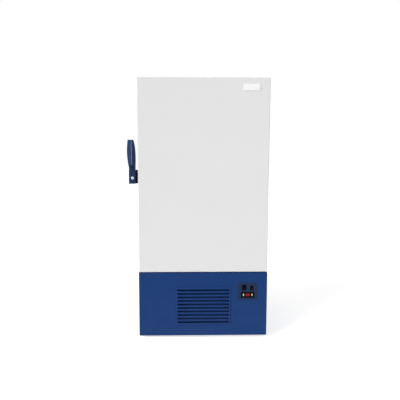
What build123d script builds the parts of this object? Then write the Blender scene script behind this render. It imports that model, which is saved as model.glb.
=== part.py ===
from build123d import *
import os
from math import cos, hypot, radians, sin, tan

# Upright ultra low temperature freezer, in millimetres. The front faces -Y, +Z is up,
# and the origin is on the floor under the middle of the whole outline.

# Whole freezer
CABINET_WIDTH = 981.0
OVERALL_HEIGHT = 1980.0
BODY_DEPTH = 885.0
BASE_TOP = 519.0
SKIRT_GAP = 20.0
SHEET = 1.5
CASING_CORNER = 8.0
SPACER_LENGTH = 25.0
SPACER_RADIUS = 16.0
SPACER_INSET = 90.0
FIT = 0.5

# Insulated cabinet
WALL = 130.0
FLOOR_WALL = 120.0
LINER = 1.5
COIL_JACKET = 12.0
BREAKER = 8.0
BREAKER_CHAMFER = 3.0

# Evaporator tube flattened against the liner
COIL_ROWS = 7
COIL_HEIGHT = 16.0
COIL_DEPTH = 8.0
COIL_MARGIN = 70.0

# Shelves on rails and clips
SHELF_COUNT = 3
SHELF_SHEET = 2.0
SHELF_FLANGE = 20.0
SHELF_SIDE_GAP = 12.0
SHELF_BACK_GAP = 12.0
SHELF_FRONT_GAP = 10.0
RAIL_WIDTH = 22.0
RAIL_DEPTH = 6.0
RAIL_INSET = 70.0
RAIL_END_GAP = 30.0
CLIP_HEIGHT = 12.0
CLIP_DEPTH = 16.0

# Inner doors
INNER_DOOR_THICKNESS = 35.0
INNER_DOOR_RECESS = 25.0
INNER_DOOR_GAP = 8.0
INNER_DOOR_SIDE = 6.0
INNER_PIVOT_SIDE = 16.0
INNER_PIVOT_BACK = 8.0
INNER_PIN_RADIUS = 4.0
INNER_PULL_WIDTH = 18.0
INNER_PULL_HEIGHT = 120.0
INNER_PULL_DEPTH = 9.0
INNER_PULL_TAPER = 9.0
INNER_PULL_INSET = 30.0
LUG_THICKNESS = 5.0
LUG_RADIUS = 9.0

# Outer door
DOOR_THICKNESS = 105.0
DOOR_INSET = 2.5
DOOR_BASE_GAP = 5.0
DOOR_EDGE = 6.0
DOOR_LINER = 3.0
DOOR_PLUG_MARGIN = 11.0
DOOR_PLUG_DEPTH = 22.0
DOOR_PLUG_TAPER = 12.0
GASKET_GAP = 14.0
GASKET_WIDTH = 30.0
GASKET_INSET = 14.0
GASKET_SQUEEZE = 0.3

# Side hinges
HINGE_INSET = 120.0
KNUCKLE_RADIUS = 7.0
KNUCKLE_LENGTH = 32.0
KNUCKLE_GAP = 0.6
HINGE_PIN_RADIUS = 4.0
PIN_CLEARANCE = 0.05
LEAF_LENGTH = 56.0
LEAF_THICKNESS = 3.0

# Latch on the door's left side, measured outwards from that side
LATCH_PIVOT_LEVEL = 1312.0
LATCH_PIVOT_BACK = 25.0
LATCH_MIDDLE = 42.5
BLOCK_WIDTH = 49.0
BLOCK_TOP_DROP = 12.0
BLOCK_HEIGHT = 99.0
BLOCK_PROUD = 8.0
BLOCK_DEPTH = 90.0
BLOCK_SHELF = 45.0
BLOCK_SLOPE_DROP = 22.0
BLOCK_EDGE = 3.0
LUG_WIDTH = 16.0
EAR_RADIUS = 11.0
EAR_CLEARANCE = 0.6
LATCH_PIN_RADIUS = 4.0
BASE_PLATE = 3.5
BASE_PLATE_DEPTH = 54.0
BASE_PLATE_HEIGHT = 76.0
BRACKET_SETBACK = 14.0
BRACKET_HEIGHT = 97.0

# Grip lever
LEVER_REACH = 80.0
LEVER_TOP = 1526.0
LEVER_RIDGE = 49.0
LEVER_CREST = 6.0
LEVER_INNER = 15.5
LEVER_TOP_INSET = 7.0
LEVER_TOP_WIDTH = 42.0
LEVER_TIP_RADIUS = 11.0
LEVER_NECK_WIDTH = 48.0
LEVER_RIDGE_PROUD = 6.0
LEVER_EDGE_BACK = 14.0
LEVER_BACK = 39.0
LEVER_BACK_TAPER = 10.0
LEVER_NECK_FRONT = 11.0
LEVER_EDGE = 2.5
LEVER_REAR_INSET = 7.0

# Levels along the lever, as shares of its height
NECK_SHARE = 0.05
SHOULDER_SHARE = 0.17
BELLY_SHARE = 0.36
WAIST_SHARE = 0.6

# Claw and keeper
CLAW_WIDTH = 10.0
CLAW_REACH = 118.0
CLAW_NOSE = 14.0
CLAW_DROP = 24.0
CLAW_UNDER = 2.0
CLAW_ARM = 14.0
CLAW_ROOT = 22.0
LOCK_ANGLE = 14.0
LOCK_GAP = 0.5
KEEPER_CLEARANCE = 3.0
KEEPER_RADIUS = 5.0
KEEPER_STUD_RADIUS = 9.0
KEEPER_STUD_LENGTH = 32.0
KEEPER_LENGTH = 60.0
KEEPER_PLATE = 4.0
KEEPER_PLATE_DEPTH = 46.0
KEEPER_PLATE_HEIGHT = 64.0

# Key lock
LOCK_LEVEL = 1245.0
LOCK_OFFSET = 2.5
LOCK_RADIUS = 11.0
LOCK_DEPTH = 26.0
LOCK_PROUD = 3.0
LOCK_EDGE = 1.0
LOCK_CLEARANCE = 0.1
KEYWAY_LENGTH = 10.0
KEYWAY_WIDTH = 2.5
KEYWAY_DEPTH = 5.0

# Machine compartment
PANEL_SHEET = 2.0
PANEL_RETURN = 40.0
PANEL_EDGE = 5.0
CHASSIS_LEVEL = 112.0
CHASSIS_SHEET = 4.0
CHASSIS_LIP = 36.0
POST_SIZE = 40.0
DECK_SHEET = 6.0
REAR_COVER_LEVEL = 60.0
REAR_SLOTS = 8
REAR_SLOT_HEIGHT = 8.0
REAR_SLOT_PITCH = 24.0
REAR_SLOT_LENGTH = 320.0
REAR_SLOT_BOTTOM = 180.0

# Louvre cover, set in from both sides of the cabinet, with its place measured from the middle plane
COVER_SIDE = 279.5
COVER_HEIGHT = 303.0
COVER_BOTTOM = 104.0
COVER_OFFSET = 0.5
COVER_RIM = 13.0
COVER_PROUD = 4.0
COVER_DEPTH = 18.0
COVER_SHEET = 2.0
LOUVRES = 10
LOUVRE_PITCH = 28.0
LOUVRE_OPENING = 14.5
LOUVRE_SHEET = 2.0
LOUVRE_LEAN = 12.0

# Air filter, condenser and fan behind the cover
FILTER_THICKNESS = 12.0
FILTER_RIM = 14.0
FILTER_MESH = 2.0
CONDENSER_FRONT = 48.0
CONDENSER_DEPTH = 60.0
CONDENSER_END = 3.0
STUB_RADIUS = 6.0
STUB_LENGTH = 24.0
SHROUD_DEPTH = 36.0
SHROUD_SHEET = 3.0
FAN_RADIUS = 105.0
FAN_TIP_GAP = 4.0
FAN_HUB_RADIUS = 26.0
FAN_HUB_DEPTH = 26.0
FAN_BLADES = 5
FAN_BLADE_SHEET = 3.0
FAN_BLADE_CHORD = 56.0
FAN_BLADE_PITCH = 28.0
SHAFT_RADIUS = 4.0
MOTOR_RADIUS = 38.0
MOTOR_LENGTH = 60.0
MOTOR_GAP = 20.0
MOTOR_FOOT = 60.0

# Compressors, exchanger, electrical box
COMPRESSOR_RADIUS = 95.0
COMPRESSOR_HEIGHT = 215.0
COMPRESSOR_SEAM = 120.0
COMPRESSOR_LID = 6.0
COMPRESSOR_REAR = 405.0
COMPRESSOR_SPACING = 300.0
COMPRESSOR_INSET = 226.0
COMPRESSOR_FOOT = 210.0
COMPRESSOR_FOOT_SHEET = 6.0
EXCHANGER_SIZE = 140.0
EXCHANGER_HEIGHT = 260.0
EXCHANGER_CORNER = 23.0
EXCHANGER_REAR = 185.0
EXCHANGER_INSET = 236.0
ELECTRICAL_WIDTH = 170.0
ELECTRICAL_DEPTH = 220.0
ELECTRICAL_HEIGHT = 260.0
ELECTRICAL_FRONT = 90.0
ELECTRICAL_EDGE = 6.0
LINE_RADIUS = 6.0
LINE_CLEAR = 60.0
PORT_OFFSET = 35.0

# Control plate, set in from the right side, and switches measured from the plate's middle
PLATE_WIDTH = 148.0
PLATE_HEIGHT = 136.0
PLATE_INSET = 149.5
PLATE_LEVEL = 372.0
PLATE_THICKNESS = 2.0
PLATE_LAP = 6.0
BEZEL_PROUD = 2.0
BEZEL_LIP = 3.0
BEZEL_WALL = 2.0
BEZEL_DEPTH = 24.0
BATTERY_OFFSET = -28.0
BATTERY_LEVEL = 402.0
BATTERY_WIDTH = 22.0
BATTERY_HEIGHT = 33.0
ALARM_OFFSET = 31.0
ALARM_LEVEL = 398.0
ALARM_WIDTH = 15.0
ALARM_HEIGHT = 23.0
POWER_OFFSET = 0.5
POWER_LEVEL = 344.0
POWER_WIDTH = 36.0
POWER_HEIGHT = 22.0
SURROUND_WIDTH = 101.0
SURROUND_HEIGHT = 46.0
ROCKER_TILT = 8.0
ROCKER_PIVOT = 6.0
ROCKER_GAP = 0.5
ROCKER_FLOOR = 7.0
LAMP_SPACING = 66.0
LAMP_LENGTH = 19.0
LAMP_WIDTH = 8.0
LAMP_PROUD = 1.5
LAMP_DEPTH = 6.0

# Casters and levelling feet
CASTER_INSET = 95.0
CASTER_FRONT = 200.0
CASTER_REAR = 95.0
CASTER_PLATE = 6.0
CASTER_PLATE_SIZE = 90.0
CASTER_TRAIL = 25.0
KING_PIN_RADIUS = 8.0
KING_PIN_LENGTH = 12.0
CROWN_THICKNESS = 8.0
CROWN_GAP = 0.6
CROWN_SIZE = 52.0
FORK_SHEET = 4.0
FORK_GAP = 2.0
FORK_END = 14.0
WHEEL_RADIUS = 37.5
WHEEL_WIDTH = 28.0
AXLE_RADIUS = 5.0
FRONT_WHEEL_LIFT = 1.5
FOOT_INSET = 70.0
FOOT_FRONT = 80.0
FOOT_RADIUS = 28.0
FOOT_PAD = 10.0
FOOT_STEM_RADIUS = 7.0
FOOT_STEM_CLEARANCE = 0.1
FOOT_STEM_TOP = 135.0

# Power inlet on the rear cover
INLET_WIDTH = 50.0
INLET_HEIGHT = 32.0
INLET_FLANGE = 3.0
INLET_INSET = 156.0
INLET_LEVEL = 420.0
INLET_WALL = 5.0
INLET_DEPTH = 22.0
INLET_PIN_SIZE = 4.0
INLET_PIN_LENGTH = 10.0
INLET_PIN_SPACING = 12.0

# Places worked out from the driving dimensions
HINGE_REACH = 2 * KNUCKLE_RADIUS
MIDDLE = (LEVER_REACH - DOOR_INSET - HINGE_REACH) / 2
LEFT = MIDDLE - CABINET_WIDTH / 2
RIGHT = MIDDLE + CABINET_WIDTH / 2
FRONT = -(BODY_DEPTH + SPACER_LENGTH - BLOCK_PROUD - LOCK_PROUD) / 2
DOOR_BACK = FRONT + DOOR_THICKNESS
CABINET_FRONT = DOOR_BACK + GASKET_GAP
CABINET_BACK = FRONT + BODY_DEPTH
CABINET_MID_LEVEL = (BASE_TOP + OVERALL_HEIGHT) / 2
CABINET_HEIGHT = OVERALL_HEIGHT - BASE_TOP
CHAMBER_WIDTH = CABINET_WIDTH - 2 * WALL
CHAMBER_LEFT = LEFT + WALL
CHAMBER_RIGHT = RIGHT - WALL
CHAMBER_BACK = CABINET_BACK - WALL
CHAMBER_BOTTOM = BASE_TOP + FLOOR_WALL
CHAMBER_TOP = OVERALL_HEIGHT - WALL
CHAMBER_HEIGHT = CHAMBER_TOP - CHAMBER_BOTTOM
CHAMBER_LEVEL = (CHAMBER_BOTTOM + CHAMBER_TOP) / 2
LINER_FRONT = CABINET_FRONT + BREAKER
DOOR_WIDTH = CABINET_WIDTH - 2 * DOOR_INSET
DOOR_BOTTOM = BASE_TOP + DOOR_BASE_GAP
DOOR_HEIGHT = OVERALL_HEIGHT - DOOR_BOTTOM
DOOR_LEVEL = (DOOR_BOTTOM + OVERALL_HEIGHT) / 2
DOOR_LEFT = LEFT + DOOR_INSET
DOOR_RIGHT = RIGHT - DOOR_INSET
HINGE_X = RIGHT + KNUCKLE_RADIUS
HINGE_Y = CABINET_FRONT - GASKET_GAP / 2
HINGE_LEVELS = (DOOR_BOTTOM + HINGE_INSET, DOOR_LEVEL, OVERALL_HEIGHT - HINGE_INSET)
INNER_FRONT = CABINET_FRONT + INNER_DOOR_RECESS
INNER_BACK = INNER_FRONT + INNER_DOOR_THICKNESS
INNER_HEIGHT = (CHAMBER_HEIGHT - 3 * INNER_DOOR_GAP) / 2
INNER_PIVOT_X = CHAMBER_RIGHT - INNER_PIVOT_SIDE
INNER_PIVOT_Y = INNER_FRONT + INNER_PIVOT_BACK
SHELF_FRONT = INNER_BACK + SHELF_FRONT_GAP
SHELF_BACK = CHAMBER_BACK - SHELF_BACK_GAP
SHELF_PITCH = CHAMBER_HEIGHT / (SHELF_COUNT + 1)
SHELF_LEVELS = [CHAMBER_BOTTOM + SHELF_PITCH * (i + 1) for i in range(SHELF_COUNT)]
LATCH_X = DOOR_LEFT - LATCH_MIDDLE
LATCH_Y = FRONT + LATCH_PIVOT_BACK
BLOCK_RIGHT = LATCH_X + BLOCK_WIDTH / 2
BLOCK_FRONT = FRONT - BLOCK_PROUD
BLOCK_TOP = LATCH_PIVOT_LEVEL - BLOCK_TOP_DROP
BLOCK_BOTTOM = BLOCK_TOP - BLOCK_HEIGHT
LOCK_X = LATCH_X + LOCK_OFFSET
KEEPER_DROP = CLAW_DROP + KEEPER_CLEARANCE + KEEPER_RADIUS
KEEPER_FACE = (CLAW_REACH - KEEPER_RADIUS - LOCK_GAP) / cos(radians(LOCK_ANGLE))
KEEPER_BACK = KEEPER_FACE - KEEPER_DROP * tan(radians(LOCK_ANGLE))
KEEPER_Y = LATCH_Y + KEEPER_BACK
KEEPER_LEVEL = LATCH_PIVOT_LEVEL - KEEPER_DROP
BASE_INNER_WIDTH = CABINET_WIDTH - 2 * PANEL_SHEET
DECK_BOTTOM = BASE_TOP - PANEL_SHEET - DECK_SHEET
CHASSIS_TOP = CHASSIS_LEVEL + CHASSIS_SHEET
CHASSIS_FRONT = FRONT + PANEL_RETURN + FIT
CHASSIS_BACK = CABINET_BACK - PANEL_SHEET
COVER_X = MIDDLE + COVER_OFFSET
COVER_WIDTH = CABINET_WIDTH - 2 * COVER_SIDE
COVER_LEVEL = COVER_BOTTOM + COVER_HEIGHT / 2
COVER_OPENING_WIDTH = COVER_WIDTH - 2 * COVER_RIM
COVER_OPENING_HEIGHT = COVER_HEIGHT - 2 * COVER_RIM
CONDENSER_FACE = FRONT + CONDENSER_FRONT
FAN_FRONT = CONDENSER_FACE + CONDENSER_DEPTH
PLATE_X = RIGHT - PLATE_INSET
BATTERY_X = PLATE_X + BATTERY_OFFSET
ALARM_X = PLATE_X + ALARM_OFFSET
POWER_X = PLATE_X + POWER_OFFSET
COMPRESSOR_X = LEFT + COMPRESSOR_INSET
COMPRESSOR_Y = CABINET_BACK - COMPRESSOR_REAR
EXCHANGER_X = RIGHT - EXCHANGER_INSET
EXCHANGER_Y = CABINET_BACK - EXCHANGER_REAR
INLET_X = RIGHT - INLET_INSET
CASTER_TOP = CHASSIS_LEVEL - CASTER_PLATE
CROWN_TOP = CASTER_TOP - CROWN_GAP
CROWN_BOTTOM = CROWN_TOP - CROWN_THICKNESS
CASTERS = {
    "front_left": (LEFT + CASTER_INSET, FRONT + CASTER_FRONT, FRONT_WHEEL_LIFT),
    "front_right": (RIGHT - CASTER_INSET, FRONT + CASTER_FRONT, FRONT_WHEEL_LIFT),
    "rear_left": (LEFT + CASTER_INSET, CABINET_BACK - CASTER_REAR, 0.0),
    "rear_right": (RIGHT - CASTER_INSET, CABINET_BACK - CASTER_REAR, 0.0),
}
FEET = {
    "left": (LEFT + FOOT_INSET, FRONT + FOOT_FRONT),
    "right": (RIGHT - FOOT_INSET, FRONT + FOOT_FRONT),
}

os.makedirs("parts", exist_ok=True)


def facing(y):
    """Sketch plane seen from the front at depth y: extrude forwards is positive."""
    return Plane.XZ.offset(-y)


def beside(x):
    """Sketch plane seen from the side at x: its own axes are Y and Z."""
    return Plane.YZ.offset(x)


def level(z):
    """Horizontal sketch plane at height z."""
    return Plane.XY.offset(z)


# Outer casing: one sheet wrapped round the cabinet, open at the front and the back
with BuildPart() as outer_casing:
    with BuildSketch(facing(CABINET_FRONT)):
        with Locations((MIDDLE, CABINET_MID_LEVEL)):
            RectangleRounded(CABINET_WIDTH, CABINET_HEIGHT, CASING_CORNER)
            RectangleRounded(CABINET_WIDTH - 2 * SHEET, CABINET_HEIGHT - 2 * SHEET,
                             CASING_CORNER - SHEET, mode=Mode.SUBTRACT)
    extrude(amount=-(CABINET_BACK - CABINET_FRONT))
outer_casing.part.label = "outer_casing"
export_step(outer_casing.part, "parts/outer_casing.step")

# Back panel, set into the casing
with BuildPart() as back_panel:
    with BuildSketch(facing(CABINET_BACK - SHEET)):
        with Locations((MIDDLE, CABINET_MID_LEVEL)):
            RectangleRounded(CABINET_WIDTH - 2 * SHEET, CABINET_HEIGHT - 2 * SHEET,
                             CASING_CORNER - SHEET)
    extrude(amount=-SHEET)
back_panel.part.label = "back_panel"
export_step(back_panel.part, "parts/back_panel.step")

# Foam insulation between casing and liner, with a jacket for the evaporator tube
with BuildPart() as insulation:
    with BuildSketch(facing(LINER_FRONT)):
        with Locations((MIDDLE, CABINET_MID_LEVEL)):
            RectangleRounded(CABINET_WIDTH - 2 * SHEET, CABINET_HEIGHT - 2 * SHEET,
                             CASING_CORNER - SHEET)
    extrude(amount=-(CABINET_BACK - SHEET - LINER_FRONT))
    with BuildSketch(facing(LINER_FRONT)):
        with Locations((MIDDLE, CHAMBER_LEVEL)):
            Rectangle(CHAMBER_WIDTH + 2 * (LINER + COIL_JACKET), CHAMBER_HEIGHT + 2 * LINER)
    extrude(amount=-(CHAMBER_BACK + LINER + COIL_JACKET - LINER_FRONT), mode=Mode.SUBTRACT)
insulation.part.label = "insulation"
export_step(insulation.part, "parts/insulation.step")

# Inner liner, a folded box open at the front
with BuildPart() as inner_liner:
    with BuildSketch(facing(LINER_FRONT)):
        with Locations((MIDDLE, CHAMBER_LEVEL)):
            Rectangle(CHAMBER_WIDTH + 2 * LINER, CHAMBER_HEIGHT + 2 * LINER)
    extrude(amount=-(CHAMBER_BACK + LINER - LINER_FRONT))
    with BuildSketch(facing(LINER_FRONT)):
        with Locations((MIDDLE, CHAMBER_LEVEL)):
            Rectangle(CHAMBER_WIDTH, CHAMBER_HEIGHT)
    extrude(amount=-(CHAMBER_BACK - LINER_FRONT), mode=Mode.SUBTRACT)
inner_liner.part.label = "inner_liner"
export_step(inner_liner.part, "parts/inner_liner.step")

# Breaker frame round the mouth, which the door gasket closes on
with BuildPart() as breaker_frame:
    with BuildSketch(facing(LINER_FRONT)):
        with Locations((MIDDLE, CABINET_MID_LEVEL)):
            RectangleRounded(CABINET_WIDTH - 2 * SHEET, CABINET_HEIGHT - 2 * SHEET,
                             CASING_CORNER - SHEET)
        with Locations((MIDDLE, CHAMBER_LEVEL)):
            Rectangle(CHAMBER_WIDTH, CHAMBER_HEIGHT, mode=Mode.SUBTRACT)
    extrude(amount=BREAKER)
    mouth = breaker_frame.faces().sort_by(Axis.Y)[0].inner_wires()[0]
    chamfer(mouth.edges(), BREAKER_CHAMFER)
breaker_frame.part.label = "breaker_frame"
export_step(breaker_frame.part, "parts/breaker_frame.step")

# Evaporator: rows round three sides of the liner, joined by risers at alternate ends
coil_pitch = (CHAMBER_HEIGHT - 2 * COIL_MARGIN) / (COIL_ROWS - 1)
coil_left = CHAMBER_LEFT - LINER - COIL_DEPTH
coil_right = CHAMBER_RIGHT + LINER
coil_front = LINER_FRONT + COIL_MARGIN
coil_back = CHAMBER_BACK + LINER + COIL_DEPTH
with BuildPart() as evaporator_coil:
    for row in range(COIL_ROWS):
        row_level = CHAMBER_BOTTOM + COIL_MARGIN + coil_pitch * row - COIL_HEIGHT / 2
        with BuildSketch(level(row_level)):
            with BuildLine():
                Polyline((coil_left, coil_front), (coil_left, coil_back),
                         (coil_right + COIL_DEPTH, coil_back), (coil_right + COIL_DEPTH, coil_front),
                         (coil_right, coil_front), (coil_right, coil_back - COIL_DEPTH),
                         (coil_left + COIL_DEPTH, coil_back - COIL_DEPTH),
                         (coil_left + COIL_DEPTH, coil_front), close=True)
            make_face()
        extrude(amount=COIL_HEIGHT)
    for row in range(COIL_ROWS - 1):
        riser_x = (coil_left, coil_right)[row % 2] + COIL_DEPTH / 2
        row_level = CHAMBER_BOTTOM + COIL_MARGIN + coil_pitch * row
        with BuildSketch(level(row_level)):
            with Locations((riser_x, coil_front + COIL_HEIGHT / 2)):
                Rectangle(COIL_DEPTH, COIL_HEIGHT)
        extrude(amount=coil_pitch)
evaporator_coil.part.label = "evaporator_coil"
export_step(evaporator_coil.part, "parts/evaporator_coil.step")

# Shelves: folded trays with their flanges down
for number, shelf_level in enumerate(SHELF_LEVELS, start=1):
    shelf_width = CHAMBER_WIDTH - 2 * SHELF_SIDE_GAP
    shelf_depth = SHELF_BACK - SHELF_FRONT
    shelf_middle = (SHELF_FRONT + SHELF_BACK) / 2
    with BuildPart() as shelf:
        with BuildSketch(level(shelf_level)):
            with Locations((MIDDLE, shelf_middle)):
                Rectangle(shelf_width, shelf_depth)
        extrude(amount=-SHELF_FLANGE)
        with BuildSketch(level(shelf_level - SHELF_SHEET)):
            with Locations((MIDDLE, shelf_middle)):
                Rectangle(shelf_width - 2 * SHELF_SHEET, shelf_depth - 2 * SHELF_SHEET)
        extrude(amount=-SHELF_FLANGE, mode=Mode.SUBTRACT)
    shelf.part.label = f"shelf_{number}"
    export_step(shelf.part, f"parts/shelf_{number}.step")

# Shelf supports: rails on the side walls, and the clips that carry each shelf
rail_places = [SHELF_FRONT + RAIL_INSET, SHELF_BACK - RAIL_INSET]
rail_walls = [(CHAMBER_LEFT, 1), (CHAMBER_RIGHT, -1)]
clip_length = SHELF_SIDE_GAP - RAIL_DEPTH + CLIP_DEPTH
with BuildPart() as shelf_supports:
    for wall_x, inwards in rail_walls:
        for rail_y in rail_places:
            with BuildSketch(level(CHAMBER_BOTTOM + RAIL_END_GAP)):
                with Locations((wall_x + inwards * RAIL_DEPTH / 2, rail_y)):
                    Rectangle(RAIL_DEPTH, RAIL_WIDTH)
            extrude(amount=CHAMBER_HEIGHT - 2 * RAIL_END_GAP)
    for shelf_level in SHELF_LEVELS:
        for wall_x, inwards in rail_walls:
            for rail_y in rail_places:
                with BuildSketch(level(shelf_level - SHELF_FLANGE)):
                    with Locations((wall_x + inwards * (RAIL_DEPTH + clip_length / 2), rail_y)):
                        Rectangle(clip_length, RAIL_WIDTH)
                extrude(amount=-CLIP_HEIGHT)
shelf_supports.part.label = "shelf_supports"
export_step(shelf_supports.part, "parts/shelf_supports.step")

# Inner doors on their own pivots, with a finger pull at the free edge
inner_bottoms = {
    "lower": CHAMBER_BOTTOM + INNER_DOOR_GAP,
    "upper": CHAMBER_BOTTOM + 2 * INNER_DOOR_GAP + INNER_HEIGHT,
}
inner_width = CHAMBER_WIDTH - 2 * INNER_DOOR_SIDE
for name, bottom in inner_bottoms.items():
    middle_level = bottom + INNER_HEIGHT / 2
    with BuildPart() as inner_door:
        with BuildSketch(facing(INNER_BACK)):
            with Locations((MIDDLE, middle_level)):
                Rectangle(inner_width, INNER_HEIGHT)
        extrude(amount=INNER_DOOR_THICKNESS)
        with BuildSketch(facing(INNER_FRONT)):
            with Locations((CHAMBER_LEFT + INNER_DOOR_SIDE + INNER_PULL_INSET, middle_level)):
                Rectangle(INNER_PULL_WIDTH, INNER_PULL_HEIGHT)
        extrude(amount=INNER_PULL_DEPTH, taper=INNER_PULL_TAPER)
        with BuildSketch(level(bottom - INNER_DOOR_GAP / 2)):
            with Locations((INNER_PIVOT_X, INNER_PIVOT_Y)):
                Circle(INNER_PIN_RADIUS)
        extrude(amount=INNER_HEIGHT + INNER_DOOR_GAP)
    inner_door.part.label = f"inner_door_{name}"
    export_step(inner_door.part, f"parts/inner_door_{name}.step")

# Pivot lugs for the inner doors, welded to the liner's right wall
lug_levels = [CHAMBER_BOTTOM + i * (INNER_HEIGHT + INNER_DOOR_GAP) for i in range(3)]
with BuildPart() as inner_door_lugs:
    for lug_level in lug_levels:
        with BuildSketch(level(lug_level + (INNER_DOOR_GAP - LUG_THICKNESS) / 2)):
            with Locations((INNER_PIVOT_X, INNER_PIVOT_Y)):
                Circle(LUG_RADIUS)
            with Locations(((INNER_PIVOT_X + CHAMBER_RIGHT) / 2, INNER_PIVOT_Y)):
                Rectangle(INNER_PIVOT_SIDE, 2 * LUG_RADIUS)
            with Locations((INNER_PIVOT_X, INNER_PIVOT_Y)):
                Circle(INNER_PIN_RADIUS + PIN_CLEARANCE, mode=Mode.SUBTRACT)
        extrude(amount=LUG_THICKNESS)
inner_door_lugs.part.label = "inner_door_lugs"
export_step(inner_door_lugs.part, "parts/inner_door_lugs.step")

# Door skin: a deep folded pan with rounded front edges
with BuildPart() as door_skin:
    with BuildSketch(facing(DOOR_BACK - DOOR_LINER)):
        with Locations((MIDDLE, DOOR_LEVEL)):
            RectangleRounded(DOOR_WIDTH, DOOR_HEIGHT, DOOR_EDGE)
    extrude(amount=DOOR_THICKNESS - DOOR_LINER)
    fillet(door_skin.faces().sort_by(Axis.Y)[0].edges(), DOOR_EDGE - SHEET / 2)
    offset(amount=-SHEET, openings=door_skin.faces().sort_by(Axis.Y)[-1])
door_skin.part.label = "door_skin"
export_step(door_skin.part, "parts/door_skin.step")

# Foam core of the door
with BuildPart() as door_insulation:
    with BuildSketch(facing(DOOR_BACK - DOOR_LINER)):
        with Locations((MIDDLE, DOOR_LEVEL)):
            RectangleRounded(DOOR_WIDTH - 2 * SHEET, DOOR_HEIGHT - 2 * SHEET, DOOR_EDGE - SHEET)
    extrude(amount=DOOR_THICKNESS - DOOR_LINER - SHEET)
    chamfer(door_insulation.faces().sort_by(Axis.Y)[0].edges(), DOOR_EDGE - SHEET)
door_insulation.part.label = "door_insulation"
export_step(door_insulation.part, "parts/door_insulation.step")

# Door liner with the tapered plug that stands into the cabinet's mouth
with BuildPart() as door_liner:
    with BuildSketch(facing(DOOR_BACK)):
        with Locations((MIDDLE, DOOR_LEVEL)):
            RectangleRounded(DOOR_WIDTH, DOOR_HEIGHT, DOOR_EDGE)
    extrude(amount=DOOR_LINER)
    with BuildSketch(facing(DOOR_BACK)):
        with Locations((MIDDLE, CHAMBER_LEVEL)):
            Rectangle(CHAMBER_WIDTH - 2 * DOOR_PLUG_MARGIN, CHAMBER_HEIGHT - 2 * DOOR_PLUG_MARGIN)
    extrude(amount=-DOOR_PLUG_DEPTH, taper=DOOR_PLUG_TAPER)
door_liner.part.label = "door_liner"
export_step(door_liner.part, "parts/door_liner.step")

# Door gasket
gasket_outer_width = DOOR_WIDTH - 2 * GASKET_INSET
gasket_outer_height = DOOR_HEIGHT - 2 * GASKET_INSET
with BuildPart() as door_gasket:
    with BuildSketch(facing(DOOR_BACK)):
        with Locations((MIDDLE, DOOR_LEVEL)):
            Rectangle(gasket_outer_width, gasket_outer_height)
            Rectangle(gasket_outer_width - 2 * GASKET_WIDTH, gasket_outer_height - 2 * GASKET_WIDTH,
                      mode=Mode.SUBTRACT)
    extrude(amount=-(GASKET_GAP - GASKET_SQUEEZE))
door_gasket.part.label = "door_gasket"
export_step(door_gasket.part, "parts/door_gasket.step")

# Cabinet hinge leaves: the lower knuckle of each hinge, with its fixed pin
with BuildPart() as hinge_cabinet_leaves:
    for hinge_level in HINGE_LEVELS:
        with BuildSketch(level(hinge_level - KNUCKLE_LENGTH)):
            with Locations((RIGHT + LEAF_THICKNESS / 2, HINGE_Y + LEAF_LENGTH / 2)):
                Rectangle(LEAF_THICKNESS, LEAF_LENGTH)
            with Locations((HINGE_X, HINGE_Y)):
                Circle(KNUCKLE_RADIUS)
        extrude(amount=KNUCKLE_LENGTH)
        with BuildSketch(level(hinge_level)):
            with Locations((HINGE_X, HINGE_Y)):
                Circle(HINGE_PIN_RADIUS)
        extrude(amount=KNUCKLE_LENGTH)
hinge_cabinet_leaves.part.label = "hinge_cabinet_leaves"
export_step(hinge_cabinet_leaves.part, "parts/hinge_cabinet_leaves.step")

# Door hinge leaves: the upper knuckle of each hinge
door_leaf = LEAF_THICKNESS + DOOR_INSET
with BuildPart() as hinge_door_leaves:
    for hinge_level in HINGE_LEVELS:
        with BuildSketch(level(hinge_level + KNUCKLE_GAP)):
            with Locations((DOOR_RIGHT + door_leaf / 2, HINGE_Y - LEAF_LENGTH / 2)):
                Rectangle(door_leaf, LEAF_LENGTH)
            with Locations((HINGE_X, HINGE_Y)):
                Circle(KNUCKLE_RADIUS)
                Circle(HINGE_PIN_RADIUS + PIN_CLEARANCE, mode=Mode.SUBTRACT)
        extrude(amount=KNUCKLE_LENGTH)
hinge_door_leaves.part.label = "hinge_door_leaves"
export_step(hinge_door_leaves.part, "parts/hinge_door_leaves.step")

# Latch base: a small plate on the door's side, and the bracket that carries the block
block_middle_y = BLOCK_FRONT + BLOCK_DEPTH / 2
block_middle_level = (BLOCK_TOP + BLOCK_BOTTOM) / 2
with BuildPart() as latch_base:
    with BuildSketch(beside(DOOR_LEFT)):
        with Locations((block_middle_y + BLOCK_PROUD, block_middle_level)):
            Rectangle(BASE_PLATE_DEPTH, BASE_PLATE_HEIGHT)
    extrude(amount=-BASE_PLATE)
    with BuildSketch(beside(DOOR_LEFT - BASE_PLATE)):
        with Locations((block_middle_y + BRACKET_SETBACK / 2, block_middle_level)):
            Rectangle(BLOCK_DEPTH - BRACKET_SETBACK, BRACKET_HEIGHT)
    extrude(amount=-(DOOR_LEFT - BASE_PLATE - BLOCK_RIGHT))
    chamfer(latch_base.faces().sort_by(Axis.Y)[0].edges(), BLOCK_EDGE)
latch_base.part.label = "latch_base"
export_step(latch_base.part, "parts/latch_base.step")

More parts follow.
